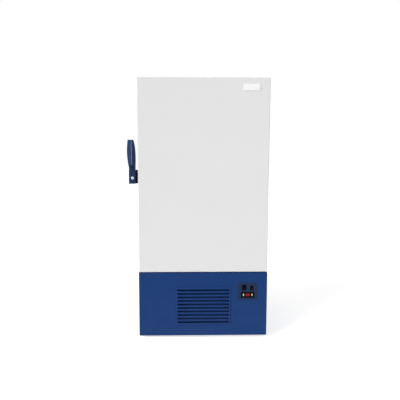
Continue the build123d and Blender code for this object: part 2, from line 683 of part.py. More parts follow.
# Latch block: sloped behind so that the claw can drop, with a lug for the lever on top
with BuildPart() as latch_block:
    with BuildSketch(beside(LATCH_X - BLOCK_WIDTH / 2)):
        with BuildLine():
            Polyline((BLOCK_FRONT, BLOCK_BOTTOM), (BLOCK_FRONT, BLOCK_TOP),
                     (BLOCK_FRONT + BLOCK_SHELF, BLOCK_TOP),
                     (BLOCK_FRONT + BLOCK_DEPTH, BLOCK_TOP - BLOCK_SLOPE_DROP),
                     (BLOCK_FRONT + BLOCK_DEPTH, BLOCK_BOTTOM), close=True)
        make_face()
    extrude(amount=BLOCK_WIDTH)
    block_front = latch_block.faces().sort_by(Axis.Y)[0]
    chamfer(block_front.edges(), BLOCK_EDGE)
    with BuildSketch(beside(LATCH_X - LUG_WIDTH / 2)):
        with Locations((LATCH_Y, LATCH_PIVOT_LEVEL)):
            Circle(EAR_RADIUS)
        with Locations((LATCH_Y, LATCH_PIVOT_LEVEL - BLOCK_TOP_DROP / 2)):
            Rectangle(2 * EAR_RADIUS, BLOCK_TOP_DROP)
    extrude(amount=LUG_WIDTH)
    with BuildSketch(beside(LATCH_X - LUG_WIDTH / 2)):
        with Locations((LATCH_Y, LATCH_PIVOT_LEVEL)):
            Circle(LATCH_PIN_RADIUS + PIN_CLEARANCE)
    extrude(amount=LUG_WIDTH, mode=Mode.SUBTRACT)
    with BuildSketch(facing(BLOCK_FRONT)):
        with Locations((LOCK_X, LOCK_LEVEL)):
            Circle(LOCK_RADIUS + LOCK_CLEARANCE)
    extrude(amount=-(LOCK_DEPTH + LOCK_CLEARANCE), mode=Mode.SUBTRACT)
latch_block.part.label = "latch_block"
export_step(latch_block.part, "parts/latch_block.step")

# Latch pin through the lug and both ears of the lever
with BuildPart() as latch_pin:
    with BuildSketch(beside(LATCH_X - LEVER_NECK_WIDTH / 2)):
        with Locations((LATCH_Y, LATCH_PIVOT_LEVEL)):
            Circle(LATCH_PIN_RADIUS)
    extrude(amount=LEVER_NECK_WIDTH)
latch_pin.part.label = "latch_pin"
export_step(latch_pin.part, "parts/latch_pin.step")

# Grip lever: a leaf seen from the front, with a crest down its face and a sloped throat above the neck
lever_height = LEVER_TOP - LATCH_PIVOT_LEVEL
lever_inner_x = DOOR_LEFT - LEVER_INNER
lever_outer_x = DOOR_LEFT - LEVER_REACH
neck_right = LATCH_X + LEVER_NECK_WIDTH / 2
neck_left = LATCH_X - LEVER_NECK_WIDTH / 2
crest_left = DOOR_LEFT - LEVER_RIDGE - LEVER_CREST / 2
crest_right = crest_left + LEVER_CREST
ridge_y = FRONT - LEVER_RIDGE_PROUD
neck_y = FRONT + LEVER_NECK_FRONT
edge_y = FRONT + LEVER_EDGE_BACK
back_y = FRONT + LEVER_BACK
tip_y = back_y - LEVER_BACK_TAPER
top_left = lever_outer_x + LEVER_TOP_INSET
top_right = top_left + LEVER_TOP_WIDTH
neck_level = LATCH_PIVOT_LEVEL + NECK_SHARE * lever_height
shoulder_level = LATCH_PIVOT_LEVEL + SHOULDER_SHARE * lever_height
belly_level = LATCH_PIVOT_LEVEL + BELLY_SHARE * lever_height
waist_level = LATCH_PIVOT_LEVEL + WAIST_SHARE * lever_height
slot_radius = hypot(EAR_RADIUS, BLOCK_TOP_DROP) + EAR_CLEARANCE
with BuildPart() as latch_lever:
    with BuildSketch(facing(back_y)) as leaf:
        with BuildLine():
            TangentArc((lever_outer_x, waist_level), (top_left, LEVER_TOP), tangent=(0, 1))
            Line((top_left, LEVER_TOP), (top_right, LEVER_TOP))
            TangentArc((lever_inner_x, belly_level), (top_right, LEVER_TOP), tangent=(0, 1))
            TangentArc((lever_inner_x, belly_level), (neck_right, neck_level), tangent=(0, -1))
            Line((neck_right, neck_level), (neck_left, neck_level))
            TangentArc((lever_outer_x, waist_level), (neck_left, neck_level), tangent=(0, -1))
        make_face()
        leaf_tips = leaf.vertices().group_by(Axis.Y)[-1].sort_by(Axis.X)
        fillet(leaf_tips[-1], LEVER_TIP_RADIUS)
        fillet(leaf_tips[0], LEVER_EDGE)
    extrude(amount=back_y - ridge_y)
    with BuildSketch(level(neck_level)):
        with BuildLine():
            Polyline((lever_outer_x, edge_y), (crest_left, ridge_y), (crest_right, ridge_y),
                     (lever_inner_x, edge_y), (lever_inner_x - LEVER_REAR_INSET, back_y),
                     (lever_outer_x + LEVER_REAR_INSET, back_y), close=True)
        make_face()
    extrude(amount=LEVER_TOP - neck_level, mode=Mode.INTERSECT)
    with BuildSketch(beside(lever_outer_x)):
        with BuildLine():
            Polyline((neck_y, neck_level), (ridge_y, shoulder_level), (ridge_y, LEVER_TOP - LEVER_EDGE),
                     (ridge_y + LEVER_EDGE, LEVER_TOP), (tip_y, LEVER_TOP), (back_y, belly_level),
                     (back_y, neck_level), close=True)
        make_face()
    extrude(amount=LEVER_REACH - LEVER_INNER, mode=Mode.INTERSECT)
    with BuildSketch(beside(neck_left)):
        with Locations((LATCH_Y, LATCH_PIVOT_LEVEL)):
            Circle(EAR_RADIUS)
        with BuildLine():
            Polyline((LATCH_Y - EAR_RADIUS, LATCH_PIVOT_LEVEL), (LATCH_Y + EAR_RADIUS, LATCH_PIVOT_LEVEL),
                     (back_y, neck_level), (neck_y, neck_level), close=True)
        make_face()
    extrude(amount=LEVER_NECK_WIDTH)
    with BuildSketch(beside(LATCH_X - LUG_WIDTH / 2 - EAR_CLEARANCE)):
        with Locations((LATCH_Y, LATCH_PIVOT_LEVEL)):
            Circle(slot_radius)
        with Locations((LATCH_Y, LATCH_PIVOT_LEVEL - EAR_RADIUS)):
            Rectangle(2 * LEVER_BACK, 2 * EAR_RADIUS)
    extrude(amount=LUG_WIDTH + 2 * EAR_CLEARANCE, mode=Mode.SUBTRACT)
    with BuildSketch(beside(neck_left)):
        with Locations((LATCH_Y, LATCH_PIVOT_LEVEL)):
            Circle(LATCH_PIN_RADIUS + PIN_CLEARANCE)
    extrude(amount=LEVER_NECK_WIDTH, mode=Mode.SUBTRACT)
latch_lever.part.label = "latch_lever"
export_step(latch_lever.part, "parts/latch_lever.step")

# Steel claw: an arm from the back of the lever's neck with a nose that drops behind the keeper
arm_under = LATCH_PIVOT_LEVEL + CLAW_UNDER
arm_top = arm_under + CLAW_ARM
root_bottom = LATCH_PIVOT_LEVEL + EAR_RADIUS + EAR_CLEARANCE + CLAW_UNDER
nose_front = LATCH_Y + CLAW_REACH
with BuildPart() as latch_claw:
    with BuildSketch(beside(LATCH_X - CLAW_WIDTH / 2)):
        with BuildLine():
            Polyline((back_y, root_bottom), (back_y, root_bottom + CLAW_ROOT),
                     (back_y + CLAW_ROOT, arm_top), (nose_front + CLAW_NOSE, arm_top),
                     (nose_front + CLAW_NOSE, LATCH_PIVOT_LEVEL - CLAW_DROP + CLAW_NOSE / 2),
                     (nose_front + CLAW_NOSE / 2, LATCH_PIVOT_LEVEL - CLAW_DROP),
                     (nose_front, LATCH_PIVOT_LEVEL - CLAW_DROP),
                     (nose_front, arm_under), (back_y + CLAW_ROOT, arm_under), close=True)
        make_face()
    extrude(amount=CLAW_WIDTH)
latch_claw.part.label = "latch_claw"
export_step(latch_claw.part, "parts/latch_claw.step")

# Keeper: a plate on the cabinet's side with a stepped stud that the claw hooks
with BuildPart() as keeper:
    with BuildSketch(beside(LEFT)):
        with Locations((CABINET_FRONT + KEEPER_PLATE_DEPTH / 2, KEEPER_LEVEL)):
            Rectangle(KEEPER_PLATE_DEPTH, KEEPER_PLATE_HEIGHT)
    extrude(amount=-KEEPER_PLATE)
    with BuildSketch(beside(LEFT - KEEPER_PLATE)):
        with Locations((KEEPER_Y, KEEPER_LEVEL)):
            Circle(KEEPER_STUD_RADIUS)
    extrude(amount=-(KEEPER_STUD_LENGTH - KEEPER_PLATE))
    with BuildSketch(beside(LEFT - KEEPER_STUD_LENGTH)):
        with Locations((KEEPER_Y, KEEPER_LEVEL)):
            Circle(KEEPER_RADIUS)
    extrude(amount=-(KEEPER_LENGTH - KEEPER_STUD_LENGTH))
keeper.part.label = "keeper"
export_step(keeper.part, "parts/keeper.step")

# Key lock barrel in the block's face
with BuildPart() as lock_cylinder:
    with BuildSketch(facing(BLOCK_FRONT - LOCK_PROUD)):
        with Locations((LOCK_X, LOCK_LEVEL)):
            Circle(LOCK_RADIUS)
    extrude(amount=-(LOCK_DEPTH + LOCK_PROUD))
    chamfer(lock_cylinder.faces().sort_by(Axis.Y)[0].edges(), LOCK_EDGE)
    with BuildSketch(facing(BLOCK_FRONT - LOCK_PROUD)):
        with Locations((LOCK_X, LOCK_LEVEL)):
            Rectangle(KEYWAY_WIDTH, KEYWAY_LENGTH)
    extrude(amount=-KEYWAY_DEPTH, mode=Mode.SUBTRACT)
lock_cylinder.part.label = "lock_cylinder"
export_step(lock_cylinder.part, "parts/lock_cylinder.step")

# Base front panel: a folded pan with openings for the louvre cover and the switches
base_level = (SKIRT_GAP + BASE_TOP) / 2
with BuildPart() as base_front_panel:
    with BuildSketch(facing(FRONT + PANEL_RETURN)):
        with Locations((MIDDLE, base_level)):
            RectangleRounded(CABINET_WIDTH, BASE_TOP - SKIRT_GAP, PANEL_EDGE)
    extrude(amount=PANEL_RETURN)
    fillet(base_front_panel.faces().sort_by(Axis.Y)[0].edges(), PANEL_EDGE - PANEL_SHEET / 2)
    offset(amount=-PANEL_SHEET, openings=base_front_panel.faces().sort_by(Axis.Y)[-1])
    with BuildSketch(facing(FRONT)):
        with Locations((COVER_X, COVER_LEVEL)):
            Rectangle(COVER_WIDTH - COVER_RIM, COVER_HEIGHT - COVER_RIM)
        with Locations((PLATE_X, PLATE_LEVEL)):
            Rectangle(PLATE_WIDTH - 2 * PLATE_LAP, PLATE_HEIGHT - 2 * PLATE_LAP)
    extrude(amount=-PANEL_EDGE, mode=Mode.SUBTRACT)
base_front_panel.part.label = "base_front_panel"
export_step(base_front_panel.part, "parts/base_front_panel.step")

# Base side panels
side_front = FRONT + PANEL_RETURN
with BuildPart() as base_side_panels:
    for panel_x in (LEFT, RIGHT - PANEL_SHEET):
        with BuildSketch(beside(panel_x)):
            with Locations(((side_front + CABINET_BACK) / 2, base_level)):
                Rectangle(CABINET_BACK - side_front, BASE_TOP - SKIRT_GAP)
        extrude(amount=PANEL_SHEET)
base_side_panels.part.label = "base_side_panels"
export_step(base_side_panels.part, "parts/base_side_panels.step")

# Chassis: a welded tray with a lip turned down in front, four angle posts and the cabinet's deck
chassis_depth = CHASSIS_BACK - CHASSIS_FRONT
chassis_middle = (CHASSIS_BACK + CHASSIS_FRONT) / 2
with BuildPart() as chassis_frame:
    with BuildSketch(level(CHASSIS_LEVEL)):
        with Locations((MIDDLE, chassis_middle)):
            Rectangle(BASE_INNER_WIDTH, chassis_depth)
        for foot_x, foot_y in FEET.values():
            with Locations((foot_x, foot_y)):
                Circle(FOOT_STEM_RADIUS + FOOT_STEM_CLEARANCE, mode=Mode.SUBTRACT)
    extrude(amount=CHASSIS_SHEET)
    with BuildSketch(level(CHASSIS_LEVEL)):
        with Locations((MIDDLE, CHASSIS_FRONT + CHASSIS_SHEET / 2)):
            Rectangle(BASE_INNER_WIDTH, CHASSIS_SHEET)
    extrude(amount=-CHASSIS_LIP)
    with BuildSketch(level(CHASSIS_TOP)):
        with Locations((MIDDLE, chassis_middle)):
            with GridLocations(BASE_INNER_WIDTH - POST_SIZE, chassis_depth - POST_SIZE, 2, 2):
                Rectangle(POST_SIZE, POST_SIZE)
            Rectangle(BASE_INNER_WIDTH - 2 * CHASSIS_SHEET, chassis_depth - 2 * CHASSIS_SHEET,
                      mode=Mode.SUBTRACT)
    extrude(amount=DECK_BOTTOM - CHASSIS_TOP)
    with BuildSketch(level(DECK_BOTTOM)):
        with Locations((MIDDLE, chassis_middle)):
            Rectangle(BASE_INNER_WIDTH, chassis_depth)
    extrude(amount=DECK_SHEET + PANEL_SHEET)
chassis_frame.part.label = "chassis_frame"
export_step(chassis_frame.part, "parts/chassis_frame.step")

# Vented rear cover of the base
with BuildPart() as base_rear_cover:
    with BuildSketch(facing(CABINET_BACK - PANEL_SHEET)):
        with Locations((MIDDLE, (REAR_COVER_LEVEL + BASE_TOP) / 2)):
            Rectangle(BASE_INNER_WIDTH, BASE_TOP - REAR_COVER_LEVEL)
        with Locations((MIDDLE - REAR_SLOT_LENGTH / 2,
                        REAR_SLOT_BOTTOM + REAR_SLOT_PITCH * (REAR_SLOTS - 1) / 2)):
            with GridLocations(REAR_SLOT_LENGTH, REAR_SLOT_PITCH, 1, REAR_SLOTS):
                Rectangle(REAR_SLOT_LENGTH, REAR_SLOT_HEIGHT, mode=Mode.SUBTRACT)
        with Locations((INLET_X, INLET_LEVEL)):
            Rectangle(INLET_WIDTH - 2 * INLET_FLANGE, INLET_HEIGHT - 2 * INLET_FLANGE, mode=Mode.SUBTRACT)
    extrude(amount=-PANEL_SHEET)
base_rear_cover.part.label = "base_rear_cover"
export_step(base_rear_cover.part, "parts/base_rear_cover.step")

# Louvre cover: a raised frame with ten slats that lean down and inwards between its sides
louvre_top = COVER_LEVEL + LOUVRE_PITCH * (LOUVRES - 1) / 2
slat_depth = COVER_DEPTH - COVER_SHEET
with BuildPart() as louvre_cover:
    with BuildSketch(facing(FRONT)):
        with Locations((COVER_X, COVER_LEVEL)):
            Rectangle(COVER_WIDTH, COVER_HEIGHT)
    extrude(amount=COVER_PROUD)
    chamfer(louvre_cover.faces().sort_by(Axis.Y)[0].edges(), COVER_SHEET)
    with BuildSketch(facing(FRONT)):
        with Locations((COVER_X, COVER_LEVEL)):
            Rectangle(COVER_WIDTH - COVER_RIM - 2 * FIT, COVER_HEIGHT - COVER_RIM - 2 * FIT)
    extrude(amount=-(COVER_DEPTH - COVER_PROUD))
    with BuildSketch(facing(FRONT + COVER_DEPTH - COVER_PROUD)):
        with Locations((COVER_X, COVER_LEVEL)):
            Rectangle(COVER_OPENING_WIDTH, COVER_OPENING_HEIGHT)
    extrude(amount=COVER_DEPTH - COVER_SHEET, mode=Mode.SUBTRACT)
    with BuildSketch(facing(FRONT - COVER_PROUD)):
        with Locations((COVER_X, COVER_LEVEL)):
            with GridLocations(COVER_OPENING_WIDTH, LOUVRE_PITCH, 1, LOUVRES):
                Rectangle(COVER_OPENING_WIDTH, LOUVRE_OPENING)
    extrude(amount=-COVER_DEPTH, mode=Mode.SUBTRACT)
    for number in range(LOUVRES):
        slat_level = louvre_top - LOUVRE_PITCH * number + LOUVRE_OPENING / 2
        with BuildSketch(beside(COVER_X - COVER_OPENING_WIDTH / 2)):
            with BuildLine():
                Polyline((FRONT - COVER_PROUD + COVER_SHEET, slat_level),
                         (FRONT - COVER_PROUD + COVER_SHEET, slat_level + LOUVRE_SHEET),
                         (FRONT - COVER_PROUD + slat_depth, slat_level + LOUVRE_SHEET - LOUVRE_LEAN),
                         (FRONT - COVER_PROUD + slat_depth, slat_level - LOUVRE_LEAN), close=True)
            make_face()
        extrude(amount=COVER_OPENING_WIDTH)
louvre_cover.part.label = "louvre_cover"
export_step(louvre_cover.part, "parts/louvre_cover.step")

# Air filter: a shallow frame with a mesh sheet, which stands on the chassis against the condenser
filter_width = COVER_WIDTH + COVER_RIM
filter_height = COVER_HEIGHT - COVER_RIM
with BuildPart() as air_filter:
    with BuildSketch(facing(CONDENSER_FACE)):
        with Locations((COVER_X, CHASSIS_TOP + filter_height / 2)):
            Rectangle(filter_width, filter_height)
            Rectangle(filter_width - 2 * FILTER_RIM, filter_height - 2 * FILTER_RIM, mode=Mode.SUBTRACT)
    extrude(amount=FILTER_THICKNESS)
    with BuildSketch(facing(CONDENSER_FACE - FILTER_THICKNESS / 2)):
        with Locations((COVER_X, CHASSIS_TOP + filter_height / 2)):
            Rectangle(filter_width - FILTER_RIM, filter_height - FILTER_RIM)
    extrude(amount=FILTER_MESH)
air_filter.part.label = "air_filter"
export_step(air_filter.part, "parts/air_filter.step")

# Condenser: the fin pack between two end plates, with its two tube stubs
condenser_height = COVER_HEIGHT - COVER_RIM
condenser_level = CHASSIS_TOP + condenser_height / 2
with BuildPart() as condenser:
    with BuildSketch(facing(CONDENSER_FACE + CONDENSER_DEPTH)):
        with Locations((COVER_X, condenser_level)):
            Rectangle(COVER_WIDTH - 2 * COVER_RIM, condenser_height - 2 * CONDENSER_END)
    extrude(amount=CONDENSER_DEPTH - CONDENSER_END)
    with BuildSketch(facing(CONDENSER_FACE + CONDENSER_DEPTH)):
        with Locations((COVER_X, condenser_level)):
            with GridLocations(COVER_WIDTH - 2 * COVER_RIM, condenser_height, 2, 1):
                Rectangle(2 * CONDENSER_END, condenser_height)
    extrude(amount=CONDENSER_DEPTH)
    with BuildSketch(beside(COVER_X + COVER_WIDTH / 2 - COVER_RIM)):
        with Locations((CONDENSER_FACE + CONDENSER_DEPTH / 2, condenser_level)):
            with GridLocations(CONDENSER_DEPTH, condenser_height / 2, 1, 2):
                Circle(STUB_RADIUS)
    extrude(amount=STUB_LENGTH)
condenser.part.label = "condenser"
export_step(condenser.part, "parts/condenser.step")

# Fan shroud: a plate with a drawn ring
with BuildPart() as fan_shroud:
    with BuildSketch(facing(FAN_FRONT + SHROUD_SHEET)):
        with Locations((COVER_X, condenser_level)):
            Rectangle(COVER_WIDTH - 2 * COVER_RIM, condenser_height)
            Circle(FAN_RADIUS + FAN_TIP_GAP, mode=Mode.SUBTRACT)
    extrude(amount=SHROUD_SHEET)
    with BuildSketch(facing(FAN_FRONT + SHROUD_DEPTH)):
        with Locations((COVER_X, condenser_level)):
            Circle(FAN_RADIUS + FAN_TIP_GAP + SHROUD_SHEET)
            Circle(FAN_RADIUS + FAN_TIP_GAP, mode=Mode.SUBTRACT)
    extrude(amount=SHROUD_DEPTH - SHROUD_SHEET)
fan_shroud.part.label = "fan_shroud"
export_step(fan_shroud.part, "parts/fan_shroud.step")

# Fan: a hub with pitched blades
fan_middle = FAN_FRONT + SHROUD_DEPTH / 2
with BuildPart() as fan_blades:
    with BuildSketch(facing(fan_middle + FAN_HUB_DEPTH / 2)):
        with Locations((COVER_X, condenser_level)):
            Circle(FAN_HUB_RADIUS)
            Circle(SHAFT_RADIUS + PIN_CLEARANCE, mode=Mode.SUBTRACT)
    extrude(amount=FAN_HUB_DEPTH)
    for number in range(FAN_BLADES):
        turn = Rot(0, 360 / FAN_BLADES * number, 0)
        pitch = Rot(0, 0, FAN_BLADE_PITCH)
        root = FAN_HUB_RADIUS - FAN_BLADE_SHEET
        blade = Plane((0, 0, 0)).move(Pos(COVER_X, fan_middle, condenser_level) * turn * pitch)
        with BuildSketch(Plane(blade.origin, blade.x_dir, -blade.y_dir)):
            with BuildLine():
                Polyline((-FAN_BLADE_CHORD / 4, root), (FAN_BLADE_CHORD / 4, root),
                         (FAN_BLADE_CHORD / 2, FAN_RADIUS), (-FAN_BLADE_CHORD / 2, FAN_RADIUS), close=True)
            make_face()
        extrude(amount=FAN_BLADE_SHEET / 2, both=True)
fan_blades.part.label = "fan_blades"
export_step(fan_blades.part, "parts/fan_blades.step")

# Fan motor on its foot, with the shaft that carries the fan
motor_front = fan_middle + FAN_HUB_DEPTH / 2 + MOTOR_GAP
with BuildPart() as fan_motor:
    with BuildSketch(facing(motor_front + MOTOR_LENGTH)):
        with Locations((COVER_X, condenser_level)):
            Circle(MOTOR_RADIUS)
    extrude(amount=MOTOR_LENGTH)
    with BuildSketch(facing(motor_front)):
        with Locations((COVER_X, condenser_level)):
            Circle(SHAFT_RADIUS)
    extrude(amount=MOTOR_GAP + FAN_HUB_DEPTH)
    with BuildSketch(level(CHASSIS_TOP)):
        with Locations((COVER_X, motor_front + MOTOR_LENGTH / 2)):
            Rectangle(MOTOR_FOOT, MOTOR_LENGTH / 2)
    extrude(amount=condenser_level - CHASSIS_TOP)
fan_motor.part.label = "fan_motor"
export_step(fan_motor.part, "parts/fan_motor.step")

# Two compressors, one for each stage of the cascade: a pot with its lid welded in, on a foot plate
compressor_places = {
    "high_stage": COMPRESSOR_X,
    "low_stage": COMPRESSOR_X + COMPRESSOR_SPACING,
}
pot_bottom = CHASSIS_TOP + COMPRESSOR_FOOT_SHEET
for name, pot_x in compressor_places.items():
    with BuildPart() as compressor:
        with BuildSketch(level(CHASSIS_TOP)):
            with Locations((pot_x, COMPRESSOR_Y)):
                Rectangle(COMPRESSOR_FOOT, COMPRESSOR_FOOT)
        extrude(amount=COMPRESSOR_FOOT_SHEET)
        with BuildSketch(level(pot_bottom)):
            with Locations((pot_x, COMPRESSOR_Y)):
                Circle(COMPRESSOR_RADIUS)
        extrude(amount=COMPRESSOR_SEAM)
        with BuildSketch(level(pot_bottom + COMPRESSOR_SEAM)):
            with Locations((pot_x, COMPRESSOR_Y)):
                Circle(COMPRESSOR_RADIUS - COMPRESSOR_LID)
        extrude(amount=COMPRESSOR_HEIGHT - COMPRESSOR_SEAM)
    compressor.part.label = f"compressor_{name}"
    export_step(compressor.part, f"parts/compressor_{name}.step")

# Cascade heat exchanger in its foam jacket
with BuildPart() as heat_exchanger:
    with BuildSketch(level(CHASSIS_TOP)):
        with Locations((EXCHANGER_X, EXCHANGER_Y)):
            RectangleRounded(EXCHANGER_SIZE, EXCHANGER_SIZE, EXCHANGER_CORNER)
    extrude(amount=EXCHANGER_HEIGHT)
heat_exchanger.part.label = "heat_exchanger"
export_step(heat_exchanger.part, "parts/heat_exchanger.step")

# Electrical box behind the switches
with BuildPart() as electrical_box:
    with BuildSketch(level(CHASSIS_TOP)):
        with Locations((PLATE_X, FRONT + ELECTRICAL_FRONT + ELECTRICAL_DEPTH / 2)):
            Rectangle(ELECTRICAL_WIDTH, ELECTRICAL_DEPTH)
    extrude(amount=ELECTRICAL_HEIGHT)
    chamfer(electrical_box.faces().sort_by(Axis.Z)[-1].edges(), ELECTRICAL_EDGE)
electrical_box.part.label = "electrical_box"
export_step(electrical_box.part, "parts/electrical_box.step")

# Refrigerant lines with brazed elbows, from each compressor's top up to the heat exchanger
exchanger_top = CHASSIS_TOP + EXCHANGER_HEIGHT
line_level = max(pot_bottom + COMPRESSOR_HEIGHT, exchanger_top) + LINE_CLEAR
with BuildPart() as refrigerant_lines:
    for pot_x, side in zip(compressor_places.values(), (-1, 1)):
        port_x = EXCHANGER_X + side * PORT_OFFSET
        port_y = EXCHANGER_Y - side * PORT_OFFSET
        with BuildLine() as line_path:
            Polyline((pot_x, COMPRESSOR_Y, pot_bottom + COMPRESSOR_HEIGHT),
                     (pot_x, COMPRESSOR_Y, line_level),
                     (pot_x, port_y, line_level),
                     (port_x, port_y, line_level),
                     (port_x, port_y, exchanger_top))
        with BuildSketch(Plane(line_path.line @ 0, z_dir=line_path.line % 0)):
            Circle(LINE_RADIUS)
        sweep(path=line_path.line, transition=Transition.RIGHT)
refrigerant_lines.part.label = "refrigerant_lines"
export_step(refrigerant_lines.part, "parts/refrigerant_lines.step")

# Control plate over the panel's opening
switches = {
    "battery": (BATTERY_X, BATTERY_LEVEL, BATTERY_WIDTH, BATTERY_HEIGHT),
    "alarm": (ALARM_X, ALARM_LEVEL, ALARM_WIDTH, ALARM_HEIGHT),
    "power": (POWER_X, POWER_LEVEL, POWER_WIDTH, POWER_HEIGHT),
}
with BuildPart() as control_plate:
    with BuildSketch(facing(FRONT)):
        with Locations((PLATE_X, PLATE_LEVEL)):
            Rectangle(PLATE_WIDTH, PLATE_HEIGHT)
        for switch_x, switch_level, width, height in switches.values():
            with Locations((switch_x, switch_level)):
                Rectangle(width + 2 * BEZEL_WALL, height + 2 * BEZEL_WALL, mode=Mode.SUBTRACT)
        with Locations((POWER_X, POWER_LEVEL)):
            with GridLocations(LAMP_SPACING, LAMP_LENGTH, 2, 1):
                SlotOverall(LAMP_LENGTH, LAMP_WIDTH, rotation=90, mode=Mode.SUBTRACT)
    extrude(amount=PLATE_THICKNESS)
control_plate.part.label = "control_plate"
export_step(control_plate.part, "parts/control_plate.step")

# Switch bezels: flanged frames that go through the plate
plate_face = FRONT - PLATE_THICKNESS
with BuildPart() as switch_bezels:
    for name, (switch_x, switch_level, width, height) in switches.items():
        flange_width = width + 2 * (BEZEL_WALL + BEZEL_LIP)
        flange_height = height + 2 * (BEZEL_WALL + BEZEL_LIP)
        if name == "power":
            flange_width = SURROUND_WIDTH
            flange_height = SURROUND_HEIGHT
        with BuildSketch(facing(plate_face)):
            with Locations((switch_x, switch_level)):
                Rectangle(flange_width, flange_height)
        extrude(amount=BEZEL_PROUD)
        with BuildSketch(facing(plate_face)):
            with Locations((switch_x, switch_level)):
                Rectangle(width + 2 * BEZEL_WALL, height + 2 * BEZEL_WALL)
        extrude(amount=-BEZEL_DEPTH)
        with BuildSketch(facing(plate_face - BEZEL_PROUD)):
            with Locations((switch_x, switch_level)):
                Rectangle(width, height)
        extrude(amount=-(BEZEL_DEPTH + BEZEL_PROUD - BEZEL_WALL), mode=Mode.SUBTRACT)
    with BuildSketch(facing(plate_face - BEZEL_PROUD)):
        with Locations((POWER_X, POWER_LEVEL)):
            with GridLocations(LAMP_SPACING, LAMP_LENGTH, 2, 1):
                SlotOverall(LAMP_LENGTH, LAMP_WIDTH, rotation=90)
    extrude(amount=-BEZEL_PROUD, mode=Mode.SUBTRACT)
switch_bezels.part.label = "switch_bezels"
export_step(switch_bezels.part, "parts/switch_bezels.step")

# Two slim indicator lamps beside the red rocker
with BuildPart() as indicator_lamps:
    with BuildSketch(facing(plate_face - BEZEL_PROUD - LAMP_PROUD)):
        with Locations((POWER_X, POWER_LEVEL)):
            with GridLocations(LAMP_SPACING, LAMP_LENGTH, 2, 1):
                SlotOverall(LAMP_LENGTH, LAMP_WIDTH, rotation=90)
    extrude(amount=-(LAMP_PROUD + BEZEL_PROUD + LAMP_DEPTH))
indicator_lamps.part.label = "indicator_lamps"
export_step(indicator_lamps.part, "parts/indicator_lamps.step")

# Rockers: a round-backed key whose two front faces meet in a shallow valley
pivot_y = plate_face - BEZEL_PROUD + ROCKER_PIVOT
for name, (switch_x, switch_level, width, height) in switches.items():
    upright = height > width
    half = max(width, height) / 2 - ROCKER_GAP
    across = min(width, height) - 2 * ROCKER_GAP
    crest = half * tan(radians(ROCKER_TILT))
    lean = sin(radians(ROCKER_TILT))
    run = cos(radians(ROCKER_TILT))
    if upright:
        rocker_plane = Plane((switch_x - across / 2, pivot_y, switch_level), (0, -lean, run), (1, 0, 0))
    else:
        rocker_plane = Plane((switch_x, pivot_y, switch_level - across / 2), (run, lean, 0), (0, 0, 1))
    forward = 1 if upright else -1
    with BuildPart() as rocker:
        with BuildSketch(rocker_plane):
            Circle(half)
            with BuildLine():
                Polyline((0, forward * ROCKER_PIVOT), (half, forward * (ROCKER_PIVOT + crest)),
                         (half, forward * 2 * half), (-half, forward * 2 * half),
                         (-half, forward * (ROCKER_PIVOT + crest)), close=True)
            make_face(mode=Mode.SUBTRACT)
            with Locations((0, -forward * (ROCKER_FLOOR + half))):
                Rectangle(2 * half, 2 * half, mode=Mode.SUBTRACT)
        extrude(amount=across)
    rocker.part.label = f"{name}_rocker"
    export_step(rocker.part, f"parts/{name}_rocker.step")

# Power inlet on the rear cover: a flanged socket with three blades
inlet_body_width = INLET_WIDTH - 2 * INLET_FLANGE
inlet_body_height = INLET_HEIGHT - 2 * INLET_FLANGE
with BuildPart() as power_inlet:
    with BuildSketch(facing(CABINET_BACK)):
        with Locations((INLET_X, INLET_LEVEL)):
            Rectangle(INLET_WIDTH, INLET_HEIGHT)
    extrude(amount=-INLET_FLANGE)
    with BuildSketch(facing(CABINET_BACK)):
        with Locations((INLET_X, INLET_LEVEL)):
            Rectangle(inlet_body_width, inlet_body_height)
    extrude(amount=INLET_DEPTH)
    with BuildSketch(facing(CABINET_BACK + INLET_FLANGE)):
        with Locations((INLET_X, INLET_LEVEL)):
            Rectangle(inlet_body_width - 2 * INLET_WALL, inlet_body_height - 2 * INLET_WALL)
    extrude(amount=INLET_FLANGE + INLET_DEPTH - INLET_WALL, mode=Mode.SUBTRACT)
    with BuildSketch(facing(CABINET_BACK - INLET_DEPTH + INLET_WALL)):
        with Locations((INLET_X, INLET_LEVEL)):
            with GridLocations(INLET_PIN_SPACING, INLET_PIN_SIZE, 3, 1):
                Rectangle(INLET_PIN_SIZE / 2, INLET_PIN_SIZE)
    extrude(amount=-INLET_PIN_LENGTH)
power_inlet.part.label = "power_inlet"
export_step(power_inlet.part, "parts/power_inlet.step")

# Rear spacers that keep the back off a wall
with BuildPart() as rear_spacers:
    for spacer_level in (BASE_TOP + SPACER_INSET, OVERALL_HEIGHT - SPACER_INSET):
        with BuildSketch(facing(CABINET_BACK)):
            with Locations((MIDDLE, spacer_level)):
                with GridLocations(CABINET_WIDTH - 2 * SPACER_INSET, SPACER_INSET, 2, 1):
                    Circle(SPACER_RADIUS)
        extrude(amount=-SPACER_LENGTH)
rear_spacers.part.label = "rear_spacers"
export_step(rear_spacers.part, "parts/rear_spacers.step")

# Caster plates under the chassis, each with its king pin
with BuildPart() as caster_plates:
    for caster_x, caster_y, lift in CASTERS.values():
        with BuildSketch(level(CASTER_TOP)):
            with Locations((caster_x, caster_y)):
                Rectangle(CASTER_PLATE_SIZE, CASTER_PLATE_SIZE)
        extrude(amount=CASTER_PLATE)
        with BuildSketch(level(CASTER_TOP)):
            with Locations((caster_x, caster_y)):
                Circle(KING_PIN_RADIUS)
        extrude(amount=-KING_PIN_LENGTH)
caster_plates.part.label = "caster_plates"
export_step(caster_plates.part, "parts/caster_plates.step")

